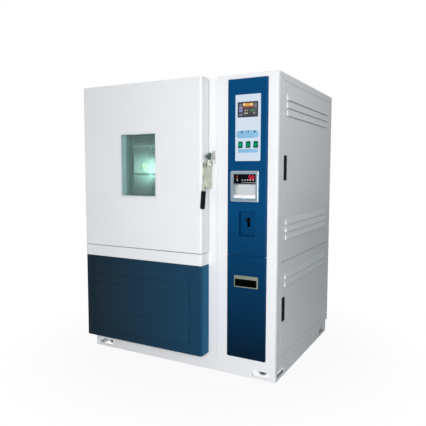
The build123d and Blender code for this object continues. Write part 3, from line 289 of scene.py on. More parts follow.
def rim_share(finish, middle, reach_x, reach_z):
    """Distance from this middle, across and up, as a share of the reach to the rim."""
    nodes = finish.node_tree.nodes
    place = nodes.new("ShaderNodeTexCoord")
    centre = nodes.new("ShaderNodeMapping")
    centre.inputs["Location"].default_value = (-middle.x / reach_x, 0.0, -middle.z / reach_z)
    centre.inputs["Scale"].default_value = (1.0 / reach_x, 0.0, 1.0 / reach_z)
    finish.node_tree.links.new(place.outputs["Object"], centre.inputs["Vector"])
    share = nodes.new("ShaderNodeVectorMath")
    share.operation = "LENGTH"
    finish.node_tree.links.new(centre.outputs["Vector"], share.inputs[0])
    return share.outputs["Value"]


def wheel_nylon(node):
    low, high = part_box(node)
    radius = (high.z - low.z) / 2
    hub = (0.05, 0.06, 0.07)
    finish = new_finish(node + "_nylon", (0.62, 0.66, 0.68), 0.5)
    share = rim_share(finish, (low + high) / 2, radius, radius)
    ramp = vary_colour(finish, share, hub, (0.56, 0.60, 0.62), 0.70, 0.74)
    ramp.color_ramp.elements.new(0.36).color = (0.30, 0.32, 0.34, 1.0)
    ramp.color_ramp.elements.new(0.40).color = (*hub, 1.0)
    scuffs = pattern(finish, "ShaderNodeTexNoise", 300.0, Detail=4.0)
    vary_roughness(finish, scuffs.outputs["Fac"], 0.42, 0.68)
    raise_skin(finish, scuffs.outputs["Fac"], 0.0001, 0.5, 0.0008)
    return finish


for wheel_node in ("front_left_wheel", "front_right_wheel", "rear_left_wheel", "rear_right_wheel"):
    dress(wheel_nylon(wheel_node), wheel_node)

# Cabinet sheets: white powder-coated steel. The folded front frame, the side frame with its doors'
# hinge pins, the left-and-top wrap and the slotted rear cover are screwed together over the base.
dress(white_coat, "front_frame", "side_frame", "chamber_wrap", "rear_cover")


def settle(piece, finish, body, sharp=30.0):
    """Put a piece's place into its mesh, paint it, and hang it on the body that carries it."""
    bpy.ops.object.select_all(action="DESELECT")
    piece.select_set(True)
    bpy.context.view_layer.objects.active = piece
    bpy.ops.object.transform_apply(location=True, rotation=True, scale=True)
    bpy.ops.object.shade_smooth_by_angle(angle=math.radians(sharp))
    piece.data.materials.clear()
    piece.data.materials.append(finish)
    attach(piece, body)


def join_copies(pattern_piece, places, name):
    """Copy a small piece to each place, turned as that place says, and make the copies one mesh."""
    copies = []
    for place, turn_to in places:
        copy = pattern_piece.copy()
        copy.data = pattern_piece.data.copy()
        bpy.context.scene.collection.objects.link(copy)
        copy.matrix_world = Matrix.Translation(place) @ turn_to.to_4x4()
        copies.append(copy)
    bpy.data.objects.remove(pattern_piece)
    bpy.ops.object.select_all(action="DESELECT")
    for copy in copies:
        copy.select_set(True)
    bpy.context.view_layer.objects.active = copies[0]
    if len(copies) > 1:
        bpy.ops.object.join()
    joined = bpy.context.view_layer.objects.active
    joined.name = name
    return joined


def faces_where(piece, test):
    """In edit mode, select just the faces whose middle and normal pass the test."""
    bpy.ops.object.mode_set(mode="EDIT")
    bpy.ops.mesh.select_mode(type="FACE")
    bpy.ops.mesh.select_all(action="DESELECT")
    bpy.ops.object.mode_set(mode="OBJECT")
    for polygon in piece.data.polygons:
        polygon.select = test(polygon.center, polygon.normal)
    bpy.ops.object.mode_set(mode="EDIT")


def domed_screw(radius, height):
    """A low domed screw head with a cross recess, standing on its own +Z."""
    bpy.ops.object.select_all(action="DESELECT")
    bpy.ops.mesh.primitive_cylinder_add(
        vertices=20, radius=radius, depth=height, location=(0.0, 0.0, height / 2),
    )
    screw = bpy.context.object
    bpy.ops.object.transform_apply(location=True)
    faces_where(screw, lambda centre, normal: normal.z > 0.9)
    bpy.ops.mesh.inset(thickness=radius * 0.28, depth=height * 0.45)
    bpy.ops.mesh.inset(thickness=radius * 0.30, depth=height * 0.2)
    bpy.ops.mesh.inset(thickness=radius * 0.14, depth=-height * 0.7)
    bpy.ops.object.mode_set(mode="OBJECT")
    return screw


def add_screws(name, places, finish, body, radius, height):
    """A screw at each place, all of them one piece."""
    settle(join_copies(domed_screw(radius, height), places, name), finish, body)


to_front = Matrix.Rotation(math.radians(90.0), 3, "X")
to_rear = Matrix.Rotation(math.radians(-90.0), 3, "X")
to_left = Matrix.Rotation(math.radians(-90.0), 3, "Y")
to_right = Matrix.Rotation(math.radians(90.0), 3, "Y")

cover_low, cover_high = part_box("rear_cover")
side_margin = 0.02
end_margin = 0.03
cover_wide = cover_high.x - cover_low.x - 2 * side_margin
cover_tall = cover_high.z - cover_low.z - 2 * end_margin
cover_places = []
for step in range(8):
    height = cover_low.z + end_margin + step * cover_tall / 7
    for across in (cover_low.x + side_margin, cover_high.x - side_margin):
        cover_places.append(((across, cover_high.y, height), to_rear))
for step in range(1, 5):
    across = cover_low.x + side_margin + step * cover_wide / 5
    for height in (cover_low.z + end_margin, cover_high.z - end_margin):
        cover_places.append(((across, cover_high.y, height), to_rear))
add_screws(
    "rear_cover_screws", cover_places, zinc, "cabinet",
    radius=0.0055, height=0.0028,
)

# Insulation: pale rigid foam that fills the wall between the test space's liner and the sheets.
# It is foamed in place, so its skin is faintly pitted.
foam = new_finish("rigid_foam", (0.78, 0.70, 0.48), 0.9)
foam_cells = pattern(foam, "ShaderNodeTexVoronoi", 420.0)
vary_colour(foam, foam_cells.outputs["Distance"], (0.66, 0.57, 0.36), (0.82, 0.75, 0.55), 0.0, 0.6)
raise_skin(foam, foam_cells.outputs["Distance"], 0.0008, 0.6)
dress(foam, "chamber_insulation", "door_insulation")

# Test space: a welded stainless liner, brushed up and down, with the slotted duct panel before its
# fan and coil, four slotted shelf standards and two wire shelves hung on their hooks.


def brushed_steel(name, colour, roughness, grain):
    """Stainless steel brushed along one direction: the stretch is small along the grain."""
    finish = new_finish(name, colour, roughness, 1.0)
    strokes = pattern(finish, "ShaderNodeTexNoise", 7.0, grain, Detail=5.0)
    vary_colour(finish, strokes.outputs["Fac"], [c * 0.8 for c in colour], colour)
    vary_roughness(finish, strokes.outputs["Fac"], roughness - 0.08, roughness + 0.12)
    raise_skin(finish, strokes.outputs["Fac"], 0.00008, 0.3, 0.0006)
    return finish


upright_grain = (90.0, 90.0, 1.0)
across_grain = (1.0, 1.0, 90.0)
liner_steel = brushed_steel("liner_stainless", (0.70, 0.74, 0.73), 0.34, upright_grain)
bright_steel = brushed_steel("bright_stainless", (0.80, 0.82, 0.81), 0.22, across_grain)
dress(liner_steel, "chamber_liner", "air_duct_panel", "door_liner")
dress(bright_steel, "shelf_standards", "wire_shelves")

duct_low, duct_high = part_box("air_duct_panel")
duct_margin = 0.02
duct_heights = (
    duct_low.z + duct_margin, (duct_low.z + duct_high.z) / 2, duct_high.z - duct_margin,
)
duct_places = [
    ((across, duct_low.y, height), to_front)
    for across in (duct_low.x + duct_margin, duct_high.x - duct_margin)
    for height in duct_heights
]
add_screws(
    "duct_panel_screws", duct_places, bright_steel, "cabinet",
    radius=0.005, height=0.0026,
)

# Air system: a pressed aluminium fan wheel on the long shaft of a painted motor behind the wall,
# and an aluminium-finned coil below it. The condenser and its fan are dressed with them.
aluminium = brushed_steel("rolled_aluminium", (0.78, 0.79, 0.79), 0.32, across_grain)
dress(aluminium, "circulation_fan", "condenser_fan")
motor_coat = powder_coat("motor_enamel", (0.07, 0.09, 0.11), 0.45, 0.5)
dress(motor_coat, "fan_motor")
fin_metal = new_finish("coil_fins", (0.70, 0.72, 0.72), 0.35, 1.0)
fin_rows = pattern(fin_metal, "ShaderNodeTexWave", 160.0, (1.0, 0.0, 0.0), Distortion=0.3)
vary_colour(fin_metal, fin_rows.outputs["Fac"], (0.42, 0.43, 0.43), (0.78, 0.79, 0.79))
raise_skin(fin_metal, fin_rows.outputs["Fac"], 0.0004, 0.7)
dress(fin_metal, "evaporator_coil", "condenser_coil")

# Lamp in the test space: a frosted glass dome on a metal base, screwed to the left wall. It is lit,
# and two small warm lights beside it light the wall and the duct panel seen through the window.
lamp_glass = new_finish("lit_lamp_glass", (1.0, 0.93, 0.72), 0.3)
lamp_frost = pattern(lamp_glass, "ShaderNodeTexNoise", 240.0, Detail=3.0)
vary_colour(lamp_glass, lamp_frost.outputs["Fac"], (0.95, 0.86, 0.62), (1.0, 0.96, 0.80))
raise_skin(lamp_glass, lamp_frost.outputs["Fac"], 0.0003, 0.6)
lamp_skin = lamp_glass.node_tree.nodes["Principled BSDF"]
lamp_skin.inputs["Emission Color"].default_value = (1.0, 0.93, 0.66, 1.0)
lamp_skin.inputs["Emission Strength"].default_value = 0.55
dress(lamp_glass, "chamber_lamp")
lamp_low, lamp_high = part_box("chamber_lamp")
lamp_middle = (lamp_low + lamp_high) / 2
light_y = lamp_middle.y - 0.14
light_z = lamp_middle.z - 0.02
soft_lamp(
    "chamber_light", (lamp_high.x + 0.22, light_y, light_z), (lamp_low.x, light_y, light_z),
    width=0.12, power=0.24, colour=(1.0, 0.82, 0.78),
)
soft_lamp(
    "duct_light", (lamp_high.x + 0.14, lamp_middle.y - 0.12, light_z),
    (lamp_high.x + 0.10, lamp_high.y + 0.2, light_z),
    width=0.12, power=0.6, colour=(1.0, 0.84, 0.76),
)

# Plant on the deck: a black enamelled hermetic compressor on rubber feet.
# The condenser with its fan stands in front of it, behind the louvred cover.
black_enamel = powder_coat("black_enamel", (0.016, 0.016, 0.018), 0.28, 0.5)
dress(black_enamel, "compressor")

# Door: a white coated shell over foam, closed behind by a stainless tray whose raised middle plugs
# the test space, with a magnetic rubber seal round it. Two chromed lift-off hinges carry it.
dress(white_coat, "door_shell")
seal_rubber = new_finish("seal_rubber", (0.035, 0.035, 0.038), 0.7)
seal_grain = pattern(seal_rubber, "ShaderNodeTexNoise", 500.0, Detail=3.0)
vary_colour(seal_rubber, seal_grain.outputs["Fac"], (0.026, 0.026, 0.028), (0.048, 0.048, 0.052))
raise_skin(seal_rubber, seal_grain.outputs["Fac"], 0.0002, 0.7)
dress(seal_rubber, "door_gasket")

chrome = new_finish("polished_chrome", (0.66, 0.69, 0.58), 0.14, 1.0)
chrome_haze = pattern(chrome, "ShaderNodeTexNoise", 60.0, Detail=4.0)
vary_colour(chrome, chrome_haze.outputs["Fac"], (0.50, 0.55, 0.44), (0.70, 0.74, 0.63))
vary_roughness(chrome, chrome_haze.outputs["Fac"], 0.08, 0.26)
raise_skin(chrome, chrome_haze.outputs["Fac"], 0.00005, 0.3, 0.0008)
dress(chrome, "cabinet_hinge_leaves", "door_hinge_leaves")

leaf_height = 0.092
for node, body in (("door_hinge_leaves", "door"), ("cabinet_hinge_leaves", "cabinet")):
    leaf_low, leaf_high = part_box(node)
    depth = leaf_low.y + 0.014 if body == "door" else leaf_high.y - 0.014
    leaf_places = [
        ((leaf_high.x - 0.004, depth, leaf_foot + rise), to_left)
        for leaf_foot in (leaf_low.z, leaf_high.z - leaf_height)
        for rise in (0.02, 0.072)
    ]
    add_screws(
        f"{body}_hinge_screws", leaf_places, chrome, body,
        radius=0.0045, height=0.0024,
    )

# Window: three panes with dry air between them in a satin stainless sleeve, lipped inside and out.
# White spacers hold the panes apart, a bead closes the inner side, and a heated metal film gives
# the panes their blue-green tint.


def moulded_plastic(name, colour, roughness, grain=420.0, gloss=0.25):
    """Spark-textured moulded plastic."""
    finish = new_finish(name, colour, roughness)
    finish.node_tree.nodes["Principled BSDF"].inputs["Specular IOR Level"].default_value = gloss
    texture = pattern(finish, "ShaderNodeTexNoise", grain, Detail=2.0)
    lighter = [min(1.0, c * 1.1) for c in colour]
    vary_colour(finish, texture.outputs["Fac"], [c * 0.85 for c in colour], lighter)
    vary_roughness(finish, texture.outputs["Fac"], roughness - 0.06, roughness + 0.1)
    raise_skin(finish, texture.outputs["Fac"], 0.00015, 0.5, 0.0007)
    return finish


sleeve_steel = brushed_steel("satin_sleeve", (0.86, 0.88, 0.90), 0.5, across_grain)
sleeve_steel.node_tree.nodes["Principled BSDF"].inputs["Metallic"].default_value = 0.3
dress(sleeve_steel, "window_trim")
pane_glass = new_finish("filmed_glass", (0.74, 0.92, 0.91), 0.0)
pane_skin = pane_glass.node_tree.nodes["Principled BSDF"]
pane_skin.inputs["Transmission Weight"].default_value = 1.0
pane_skin.inputs["IOR"].default_value = 1.45
film = pattern(pane_glass, "ShaderNodeTexNoise", 5.0, Detail=2.0)
vary_colour(pane_glass, film.outputs["Fac"], (0.68, 0.90, 0.87), (0.75, 0.93, 0.92))
dress(pane_glass, "window_glazing")


def ring(name, left, right, low, high, front, rear, width):
    """A square frame of this width round a clear opening, between two depths."""
    bpy.ops.object.select_all(action="DESELECT")
    bpy.ops.mesh.primitive_cube_add(
        size=1.0, location=((left + right) / 2, (front + rear) / 2, (low + high) / 2),
        scale=(right - left, rear - front, high - low),
    )
    piece = bpy.context.object
    piece.name = name
    bpy.ops.object.transform_apply(location=True, scale=True)
    faces_where(piece, lambda centre, normal: abs(normal.y) > 0.9)
    bpy.ops.mesh.inset(thickness=width)
    bpy.ops.mesh.bridge_edge_loops()
    bpy.ops.object.mode_set(mode="OBJECT")
    return piece


pane_low, pane_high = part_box("window_glazing")
gap = 0.0002
spacer_white = moulded_plastic("white_spacer", (0.88, 0.90, 0.91), 0.45)
for name, front, rear, width in (
    ("window_spacer_front", pane_low.y + 0.0052, pane_low.y + 0.0418, 0.004),
    ("window_spacer_rear", pane_low.y + 0.0472, pane_low.y + 0.0700, 0.006),
    ("window_bead", pane_high.y + gap, pane_high.y + 0.0062, 0.010),
):
    frame_piece = ring(
        name, pane_low.x + gap, pane_high.x - gap, pane_low.z + gap, pane_high.z - gap,
        front, rear, width,
    )
    settle(frame_piece, spacer_white, "door")

# Latch: a passivated cast cover on the door's edge, a lever that turns in it on a pin, a moulded
# black grip on the lever, and a steel keeper with a hook, screwed to the cabinet. The hook is
# painted dark and matt as a painted dark reflection, and thin dark plates on the cover paint the
# shade in its slots.


def raised_plate(name, left, right, low, high, face, thick, corner, edge):
    """A thin plate on a face that looks to the front, its corners rounded and its edge soft."""
    bpy.ops.object.select_all(action="DESELECT")
    bpy.ops.mesh.primitive_cube_add(
        size=1.0, location=((left + right) / 2, face - thick / 2, (low + high) / 2),
        scale=(right - left, thick, high - low),
    )
    plate = bpy.context.object
    plate.name = name
    bpy.ops.object.transform_apply(location=True, scale=True)
    bpy.ops.object.mode_set(mode="EDIT")
    bpy.ops.mesh.select_mode(type="EDGE")
    bpy.ops.mesh.select_all(action="DESELECT")
    bpy.ops.object.mode_set(mode="OBJECT")
    for side in plate.data.edges:
        start, end = (plate.data.vertices[i].co for i in side.vertices)
        side.select = abs(start.y - end.y) > thick * 0.5
    bpy.ops.object.mode_set(mode="EDIT")
    bpy.ops.mesh.bevel(offset=corner, segments=5)
    faces_where(plate, lambda centre, normal: normal.y < -0.9)
    bpy.ops.mesh.region_to_loop()
    bpy.ops.mesh.bevel(offset=edge, segments=2)
    bpy.ops.object.mode_set(mode="OBJECT")
    return plate


latch_metal = brushed_steel("passivated_casting", (0.62, 0.655, 0.555), 0.42, (12.0, 12.0, 12.0))
latch_metal.node_tree.nodes["Principled BSDF"].inputs["Metallic"].default_value = 0.75
dress(latch_metal, "latch_housing", "latch_lever")
latch_low, latch_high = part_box("latch_housing")
# Painted shade: thin dark rubber plates on the cover's front stand where its slots are, painting
# the shade inside them.
for name, left, right, low, high in (
    ("latch_slot_shade_upper_left", 0.0015, 0.0070, 0.118, 0.142),
    ("latch_slot_shade_upper_right", 0.0190, 0.0245, 0.118, 0.142),
    ("latch_slot_shade_middle", 0.0012, 0.0070, 0.040, 0.076),
):
    slot_shade_plate = raised_plate(
        name, latch_low.x + left, latch_low.x + right, latch_low.z + low, latch_low.z + high,
        latch_low.y, thick=0.0004, corner=0.0015, edge=0.0001,
    )
    settle(slot_shade_plate, seal_rubber, "door")
latch_places = [
    ((latch_high.x, latch_high.y - 0.012, latch_low.z + rise), to_right)
    for rise in (0.020, 0.072, 0.124)
]
add_screws(
    "latch_screws", latch_places, latch_metal, "door",
    radius=0.0042, height=0.0018,
)


def share_along(finish, axis, start, end):
    """How far a point lies from one place to another along an axis of the piece, from 0 to 1."""
    tree = finish.node_tree
    place = tree.nodes.new("ShaderNodeTexCoord")
    split = tree.nodes.new("ShaderNodeSeparateXYZ")
    share = tree.nodes.new("ShaderNodeMapRange")
    share.inputs["From Min"].default_value = start
    share.inputs["From Max"].default_value = end
    tree.links.new(place.outputs["Object"], split.inputs[0])
    tree.links.new(split.outputs[axis], share.inputs["Value"])
    return share.outputs[0]


def paint_light_and_shade_tone(finish, axis, start, end, tone):
    """Paint light and shade as a change of colour to this tone, from start to end on an axis.
    Returns the share changed.
    """
    tree = finish.node_tree
    share = share_along(finish, axis, start, end)
    blend = tree.nodes.new("ShaderNodeMix")
    blend.data_type = "RGBA"
    colour = tree.nodes["Principled BSDF"].inputs["Base Color"]
    tree.links.new(colour.links[0].from_socket, blend.inputs[6])
    blend.inputs[7].default_value = (*tone, 1.0)
    tree.links.new(share, blend.inputs["Factor"])
    tree.links.new(blend.outputs[2], colour)
    return share


def dull_metal(finish, share):
    """Where the share is high, turn the metal into bare matt material."""
    tree = finish.node_tree
    bare = combine(tree, "SUBTRACT", 1.0, share)
    skin = tree.nodes["Principled BSDF"]
    tree.links.new(bare, skin.inputs["Metallic"])
    tree.links.new(bare, skin.inputs["Specular IOR Level"])


keeper_steel = brushed_steel("keeper_steel", (0.80, 0.82, 0.81), 0.45, (12.0, 12.0, 12.0))
keeper_low, keeper_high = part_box("latch_strike")
hook_end = keeper_high.y - 0.006
# Painted dark reflection: the keeper's hook, in front of its back plate, is painted dark and matt.
hook_painted_reflection = paint_light_and_shade_tone(keeper_steel, "Y", keeper_high.y - 0.0045, hook_end, (0.10, 0.13, 0.13))
dull_metal(keeper_steel, hook_painted_reflection)
dress(keeper_steel, "latch_strike")
keeper_places = [
    ((keeper_high.x - 0.007, keeper_high.y - 0.004, keeper_low.z + rise), to_front)
    for rise in (0.012, 0.070)
]
add_screws(
    "latch_strike_screws", keeper_places, keeper_steel, "cabinet",
    radius=0.0035, height=0.0016,
)

black_plastic = moulded_plastic("black_moulding", (0.003, 0.006, 0.007), 0.46, gloss=0.05)
dress(black_plastic, "latch_grip")

# Sill band and plant cover: the drip sill is white coated sheet, and the cover below it is blue
# coated sheet with seven pressed louvres in a sunk field. The cover lifts off its hooks. Its front
# is painted darker to the left as painted shade, and its right-hand return is painted a brighter
# blue as painted light.
dress(white_coat, "sill_band")


def paint_light_and_shade_across(finish, axis, start, end, first, last):
    """Paint light and shade as a drift between two tones along one axis of the sheet, under its
    cloudiness: the first tone is the painted shade and the last the painted light.
    """
    tree = finish.node_tree
    clouds = pattern(finish, "ShaderNodeTexNoise", 2.2, Detail=4.0)
    cloud_share = combine(tree, "MULTIPLY", clouds.outputs["Fac"], 0.16)
    painted_light_share = combine(tree, "ADD", cloud_share, share_along(finish, axis, start, end))
    vary_colour(finish, painted_light_share, first, last, 0.08, 1.08)


louvre_coat = powder_coat("deep_blue_powder_coat", (0.010, 0.034, 0.066), 0.36, 0.1)
# Painted light and shade: the front of the cover is painted darker to the left and lighter to the
# right.
paint_light_and_shade_across(louvre_coat, "X", -0.60, 0.20, (0.010, 0.022, 0.034), (0.009, 0.046, 0.092))
return_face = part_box("louvre_panel")[1].x
# Painted light: the right-hand return is painted a brighter blue, as if lit from the right.
paint_light_and_shade_tone(louvre_coat, "X", return_face - 0.003, return_face - 0.0005, (0.001, 0.095, 0.200))
dress(louvre_coat, "louvre_panel")

# Control column: folded blue panels with bevelled upright edges, fixed to the white frame. Shade is
# painted into their blue: it is painted darker towards the floor.
blue_coat = powder_coat("blue_powder_coat", (0.001, 0.055, 0.160), 0.42, 0.05)
# Painted shade: the blue is painted darker towards the floor.
paint_light_and_shade_across(blue_coat, "Z", 0.12, 1.05, (0.001, 0.010, 0.024), (0.001, 0.055, 0.160))
dress(blue_coat, "column_fascia", "drawer_front")

# Controller plate: pale film-faced sheet behind the display, the lamp band and the rocker
# switches. The film's blue band and patch are printed, with no words on them.
plate_film = powder_coat("pale_plate_film", (0.58, 0.66, 0.77), 0.35, 0.4)
dress(plate_film, "control_plate")
plate_low, plate_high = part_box("control_plate")
plate_face = plate_low.y
# Places on the plate are given from a corner of the cabinet, as on its drawing: the plate's left
# edge is at 1.037 there, and its top at 1.5995.
plate_x = plate_low.x - 1.037
plate_z = plate_high.z - 1.5995
band_print = powder_coat("band_print", (0.22, 0.45, 0.66), 0.3, 0.4)
band = raised_plate(
    "lamp_band", plate_x + 1.043, plate_x + 1.1775, plate_z + 1.364, plate_z + 1.405,
    plate_face, thick=0.0012, corner=0.019, edge=0.0004,
)
settle(band, band_print, "cabinet")
patch = raised_plate(
    "rocker_patch", plate_x + 1.0545, plate_x + 1.1735, plate_z + 1.2845, plate_z + 1.3045,
    plate_face, thick=0.0006, corner=0.003, edge=0.0002,
)
settle(patch, band_print, "cabinet")

# Indicator lamps: two domed lamps and a small centre sensor in dark plastic, snapped into the band.
# They are off, so their lenses stay dark.
lamp_lens = moulded_plastic("dark_lamp_lens", (0.012, 0.05, 0.055), 0.2, 150.0)
bpy.ops.object.select_all(action="DESELECT")
bpy.ops.mesh.primitive_uv_sphere_add(segments=24, ring_count=12, radius=0.0052)
dome = bpy.context.object
bpy.ops.object.mode_set(mode="EDIT")
bpy.ops.mesh.select_all(action="SELECT")
bpy.ops.mesh.bisect(
    plane_co=(0.0, 0.0, 0.0), plane_no=(0.0, 0.0, 1.0), clear_inner=True, use_fill=True,
)
bpy.ops.mesh.select_all(action="SELECT")
bpy.ops.transform.resize(value=(1.0, 1.0, 0.5))
bpy.ops.object.mode_set(mode="OBJECT")
dome_places = [
    ((plate_x + across, plate_face - 0.001, plate_z + 1.397), to_front)
    for across in (1.078, 1.155)
]
domes = join_copies(dome, dome_places, "indicator_lamps")
settle(domes, lamp_lens, "cabinet", sharp=60.0)
sensor = raised_plate(
    "band_sensor", plate_x + 1.113, plate_x + 1.118, plate_z + 1.393, plate_z + 1.404,
    plate_face - 0.0011, thick=0.0008, corner=0.002, edge=0.0002,
)
settle(sensor, lamp_lens, "cabinet")

# Display: a moulded dark bezel round a glass-fronted colour screen that is switched on.
# The screen shows a plain header, a column of keys and the two measured values as numbers.
dress(moulded_plastic("bezel_moulding", (0.03, 0.032, 0.036), 0.4), "display_unit")
display_low, display_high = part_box("display_unit")
bezel_wide = 0.0067
screen_left = display_low.x + bezel_wide
screen_low = display_low.z + bezel_wide
screen_wide = display_high.x - bezel_wide - screen_left
screen_tall = display_high.z - bezel_wide - screen_low
screen_floor = display_low.y + 0.002


def screen_glow(name, colour, strength):
    """A lit patch of the screen, with the fine dot grid that a screen shows up close."""
    finish = new_finish(name, [c * 0.25 for c in colour], 0.25)
    dots = pattern(finish, "ShaderNodeTexVoronoi", 900.0)
    dark, light = ([c * part for c in colour] for part in (0.15, 0.35))
    vary_colour(finish, dots.outputs["Distance"], dark, light)
    skin = finish.node_tree.nodes["Principled BSDF"]
    skin.inputs["Emission Color"].default_value = (*colour, 1.0)
    skin.inputs["Emission Strength"].default_value = strength
    return finish


# Each patch of the screen: its edges as shares of the screen, its lift, and its glow.
for name, left, right, low, high, lift, glow_name, colour, strength in (
    ("ground", 0.0, 1.0, 0.0, 1.0, 0.0003, "dark", (0.05, 0.05, 0.055), 0.7),
    ("header", 0.24, 0.80, 0.74, 0.99, 0.0004, "orange", (0.62, 0.27, 0.035), 0.9),
    ("header_left", 0.24, 0.34, 0.86, 0.97, 0.0006, "cream", (0.80, 0.74, 0.50), 0.9),
    ("header_right", 0.62, 0.74, 0.84, 0.95, 0.0006, "sand", (0.62, 0.58, 0.42), 0.9),
    ("key_top", 0.01, 0.20, 0.80, 0.96, 0.0004, "grey", (0.12, 0.13, 0.17), 0.9),
    ("key_upper", 0.01, 0.20, 0.56, 0.74, 0.0004, "violet", (0.30, 0.20, 0.36), 0.9),
    ("key_lower", 0.01, 0.20, 0.32, 0.53, 0.0004, "blue", (0.17, 0.20, 0.40), 0.9),
    ("key_bottom", 0.01, 0.20, 0.04, 0.16, 0.0004, "slate", (0.20, 0.20, 0.26), 0.9),
    ("trend", 0.24, 0.82, 0.62, 0.71, 0.0004, "wine", (0.16, 0.03, 0.06), 0.9),
    ("status", 0.64, 0.86, 0.36, 0.46, 0.0004, "green", (0.05, 0.22, 0.06), 0.9),
    ("key_right", 0.86, 0.99, 0.62, 0.96, 0.0004, "ash", (0.13, 0.14, 0.15), 0.9),
):
    screen_piece = raised_plate(
        f"screen_{name}", screen_left + left * screen_wide, screen_left + right * screen_wide,
        screen_low + low * screen_tall, screen_low + high * screen_tall, screen_floor,
        thick=lift, corner=min(0.0012, (high - low) * screen_tall / 3), edge=lift / 3,
    )
    finish = screen_glow(f"screen_{glow_name}", colour, strength)
    settle(screen_piece, finish, "cabinet")


def numerals(name, text, left, low, height, face, finish):
    """Plain numbers, standing on a face that looks to the front."""
    bpy.ops.object.select_all(action="DESELECT")
    bpy.ops.object.text_add(rotation=(math.radians(90.0), 0.0, 0.0))
    bpy.context.object.name = name
    letters = bpy.context.object.data
    letters.body = text
    letters.size = height * 1.4
    letters.extrude = 0.00015
    letters.resolution_u = 3
    bpy.ops.object.convert(target="MESH")
    number = bpy.context.object
    number.location = (left, face - 0.00016, low)
    settle(number, finish, "cabinet")


screen_white = screen_glow("screen_white", (0.72, 0.76, 0.72), 1.0)
screen_yellow = screen_glow("screen_yellow", (0.62, 0.55, 0.22), 0.9)
for name, number, across, up, height, finish in (
    ("screen_temperature", "25.0", 0.30, 0.37, 0.0085, screen_yellow),
    ("screen_humidity", "60.0", 0.30, 0.15, 0.0085, screen_white),
    ("screen_hours", "12", 0.80, 0.17, 0.0075, screen_white),
):
    numerals(
        name, number, screen_left + across * screen_wide, screen_low + up * screen_tall,
        height, screen_floor - 0.0003, finish,
    )

# Rocker switches: satin green keys lit from behind, each turning on the pin of its own well.
# Each is moulded in one piece, and the middle of the key is the brightest.


def lit_key(node, glow):
    low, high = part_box(node)
    reach = (high - low) / 2
    finish = new_finish(node + "_green", (0.01, 0.30, 0.13), 0.34)
    share = rim_share(finish, (low + high) / 2, reach.x, reach.z)
    ramp = vary_colour(finish, share, (0.002, 0.26, 0.12), (0.001, 0.06, 0.03), 0.25, 0.95)
    skin = finish.node_tree.nodes["Principled BSDF"]
    finish.node_tree.links.new(ramp.outputs["Color"], skin.inputs["Emission Color"])
    skin.inputs["Emission Strength"].default_value = glow
    skin.inputs["Specular IOR Level"].default_value = 0.05
    ribs = pattern(finish, "ShaderNodeTexNoise", 260.0, Detail=1.0)
    raise_skin(finish, ribs.outputs["Fac"], 0.0001, 0.3, 0.0008)
    return finish


for rocker_node, glow in (("rocker_1", 0.34), ("rocker_2", 0.12), ("rocker_3", 0.12)):
    dress(lit_key(rocker_node, glow), rocker_node)

# Chart recorder: a grey moulded case, with a black display head above white chart paper that
# comes down over a sloping platen, behind a hinged bright metal frame that is open in the middle.
grey_plastic = moulded_plastic("grey_moulding", (0.40, 0.45, 0.48), 0.45)
dress(grey_plastic, "recorder_case", "recorder_chart")
door_metal = brushed_steel("recorder_door_frame", (0.48, 0.61, 0.71), 0.3, upright_grain)
dress(door_metal, "recorder_door")
chart_low, chart_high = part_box("recorder_chart")
chart_face = chart_low.y
head_low = chart_high.z - 0.056
gloss_black = moulded_plastic("display_black", (0.002, 0.002, 0.004), 0.2, 120.0, 0.08)
head_face = raised_plate(
    "recorder_head", chart_low.x + 0.001, chart_high.x - 0.001, head_low + 0.001,
    chart_high.z - 0.001, chart_face, thick=0.001, corner=0.002, edge=0.0004,
)
settle(head_face, gloss_black, "cabinet")
head_front = chart_face - 0.001
red_digit = screen_glow("red_digits", (0.75, 0.02, 0.06), 1.3)
orange_digit = screen_glow("orange_digits", (0.60, 0.13, 0.05), 1.1)
numerals(
    "recorder_value", "50", chart_high.x - 0.047, chart_high.z - 0.033, 0.026, head_front,
    red_digit,
)
numerals(
    "recorder_channel", "1", chart_low.x + 0.016, chart_high.z - 0.028, 0.019, head_front,
    orange_digit,
)
key_print = moulded_plastic("mark_print", (0.45, 0.52, 0.52), 0.5)
for number, share in enumerate((0.17, 0.40, 0.52, 0.63, 0.75, 0.87), 1):
    across = chart_low.x + share * (chart_high.x - chart_low.x)
    key = raised_plate(
        f"recorder_key_{number}", across - 0.003, across + 0.003, head_low + 0.018,
        head_low + 0.026, head_front, thick=0.0008, corner=0.001, edge=0.0002,
    )
    settle(key, key_print, "cabinet")
pen_rail = raised_plate(
    "pen_rail", chart_low.x + 0.05, chart_high.x - 0.003, head_low + 0.006, head_low + 0.009,
    head_front, thick=0.002, corner=0.001, edge=0.0003,
)
settle(pen_rail, bright_steel, "cabinet")

# Chart paper: white paper with a faint printed grid, pulled down over the platen, with the white
# take-up bar and its tab across the bottom.
chart_paper = new_finish("chart_paper", (0.78, 0.80, 0.82), 0.85)
grid = pattern(chart_paper, "ShaderNodeTexWave", 26.0, (1.0, 0.0, 0.0), Distortion=0.0)
vary_colour(chart_paper, grid.outputs["Fac"], (0.46, 0.50, 0.53), (0.58, 0.60, 0.62), 0.02, 0.14)
fibres = pattern(chart_paper, "ShaderNodeTexNoise", 700.0, Detail=3.0)
raise_skin(chart_paper, fibres.outputs["Fac"], 0.0001, 0.5)
bpy.ops.object.select_all(action="DESELECT")
bpy.ops.mesh.primitive_grid_add(
    x_subdivisions=12, y_subdivisions=24, size=1.0, rotation=(math.radians(90.0), 0.0, 0.0),
)
paper = bpy.context.object
paper.name = "chart_paper_sheet"
paper_left = chart_low.x + 0.018
paper_right = chart_high.x - 0.006
paper_top = head_low - 0.002
paper_bottom = chart_low.z + 0.020
paper_tall = paper_top - paper_bottom
paper_middle = ((paper_left + paper_right) / 2, chart_face + 0.004, (paper_top + paper_bottom) / 2)
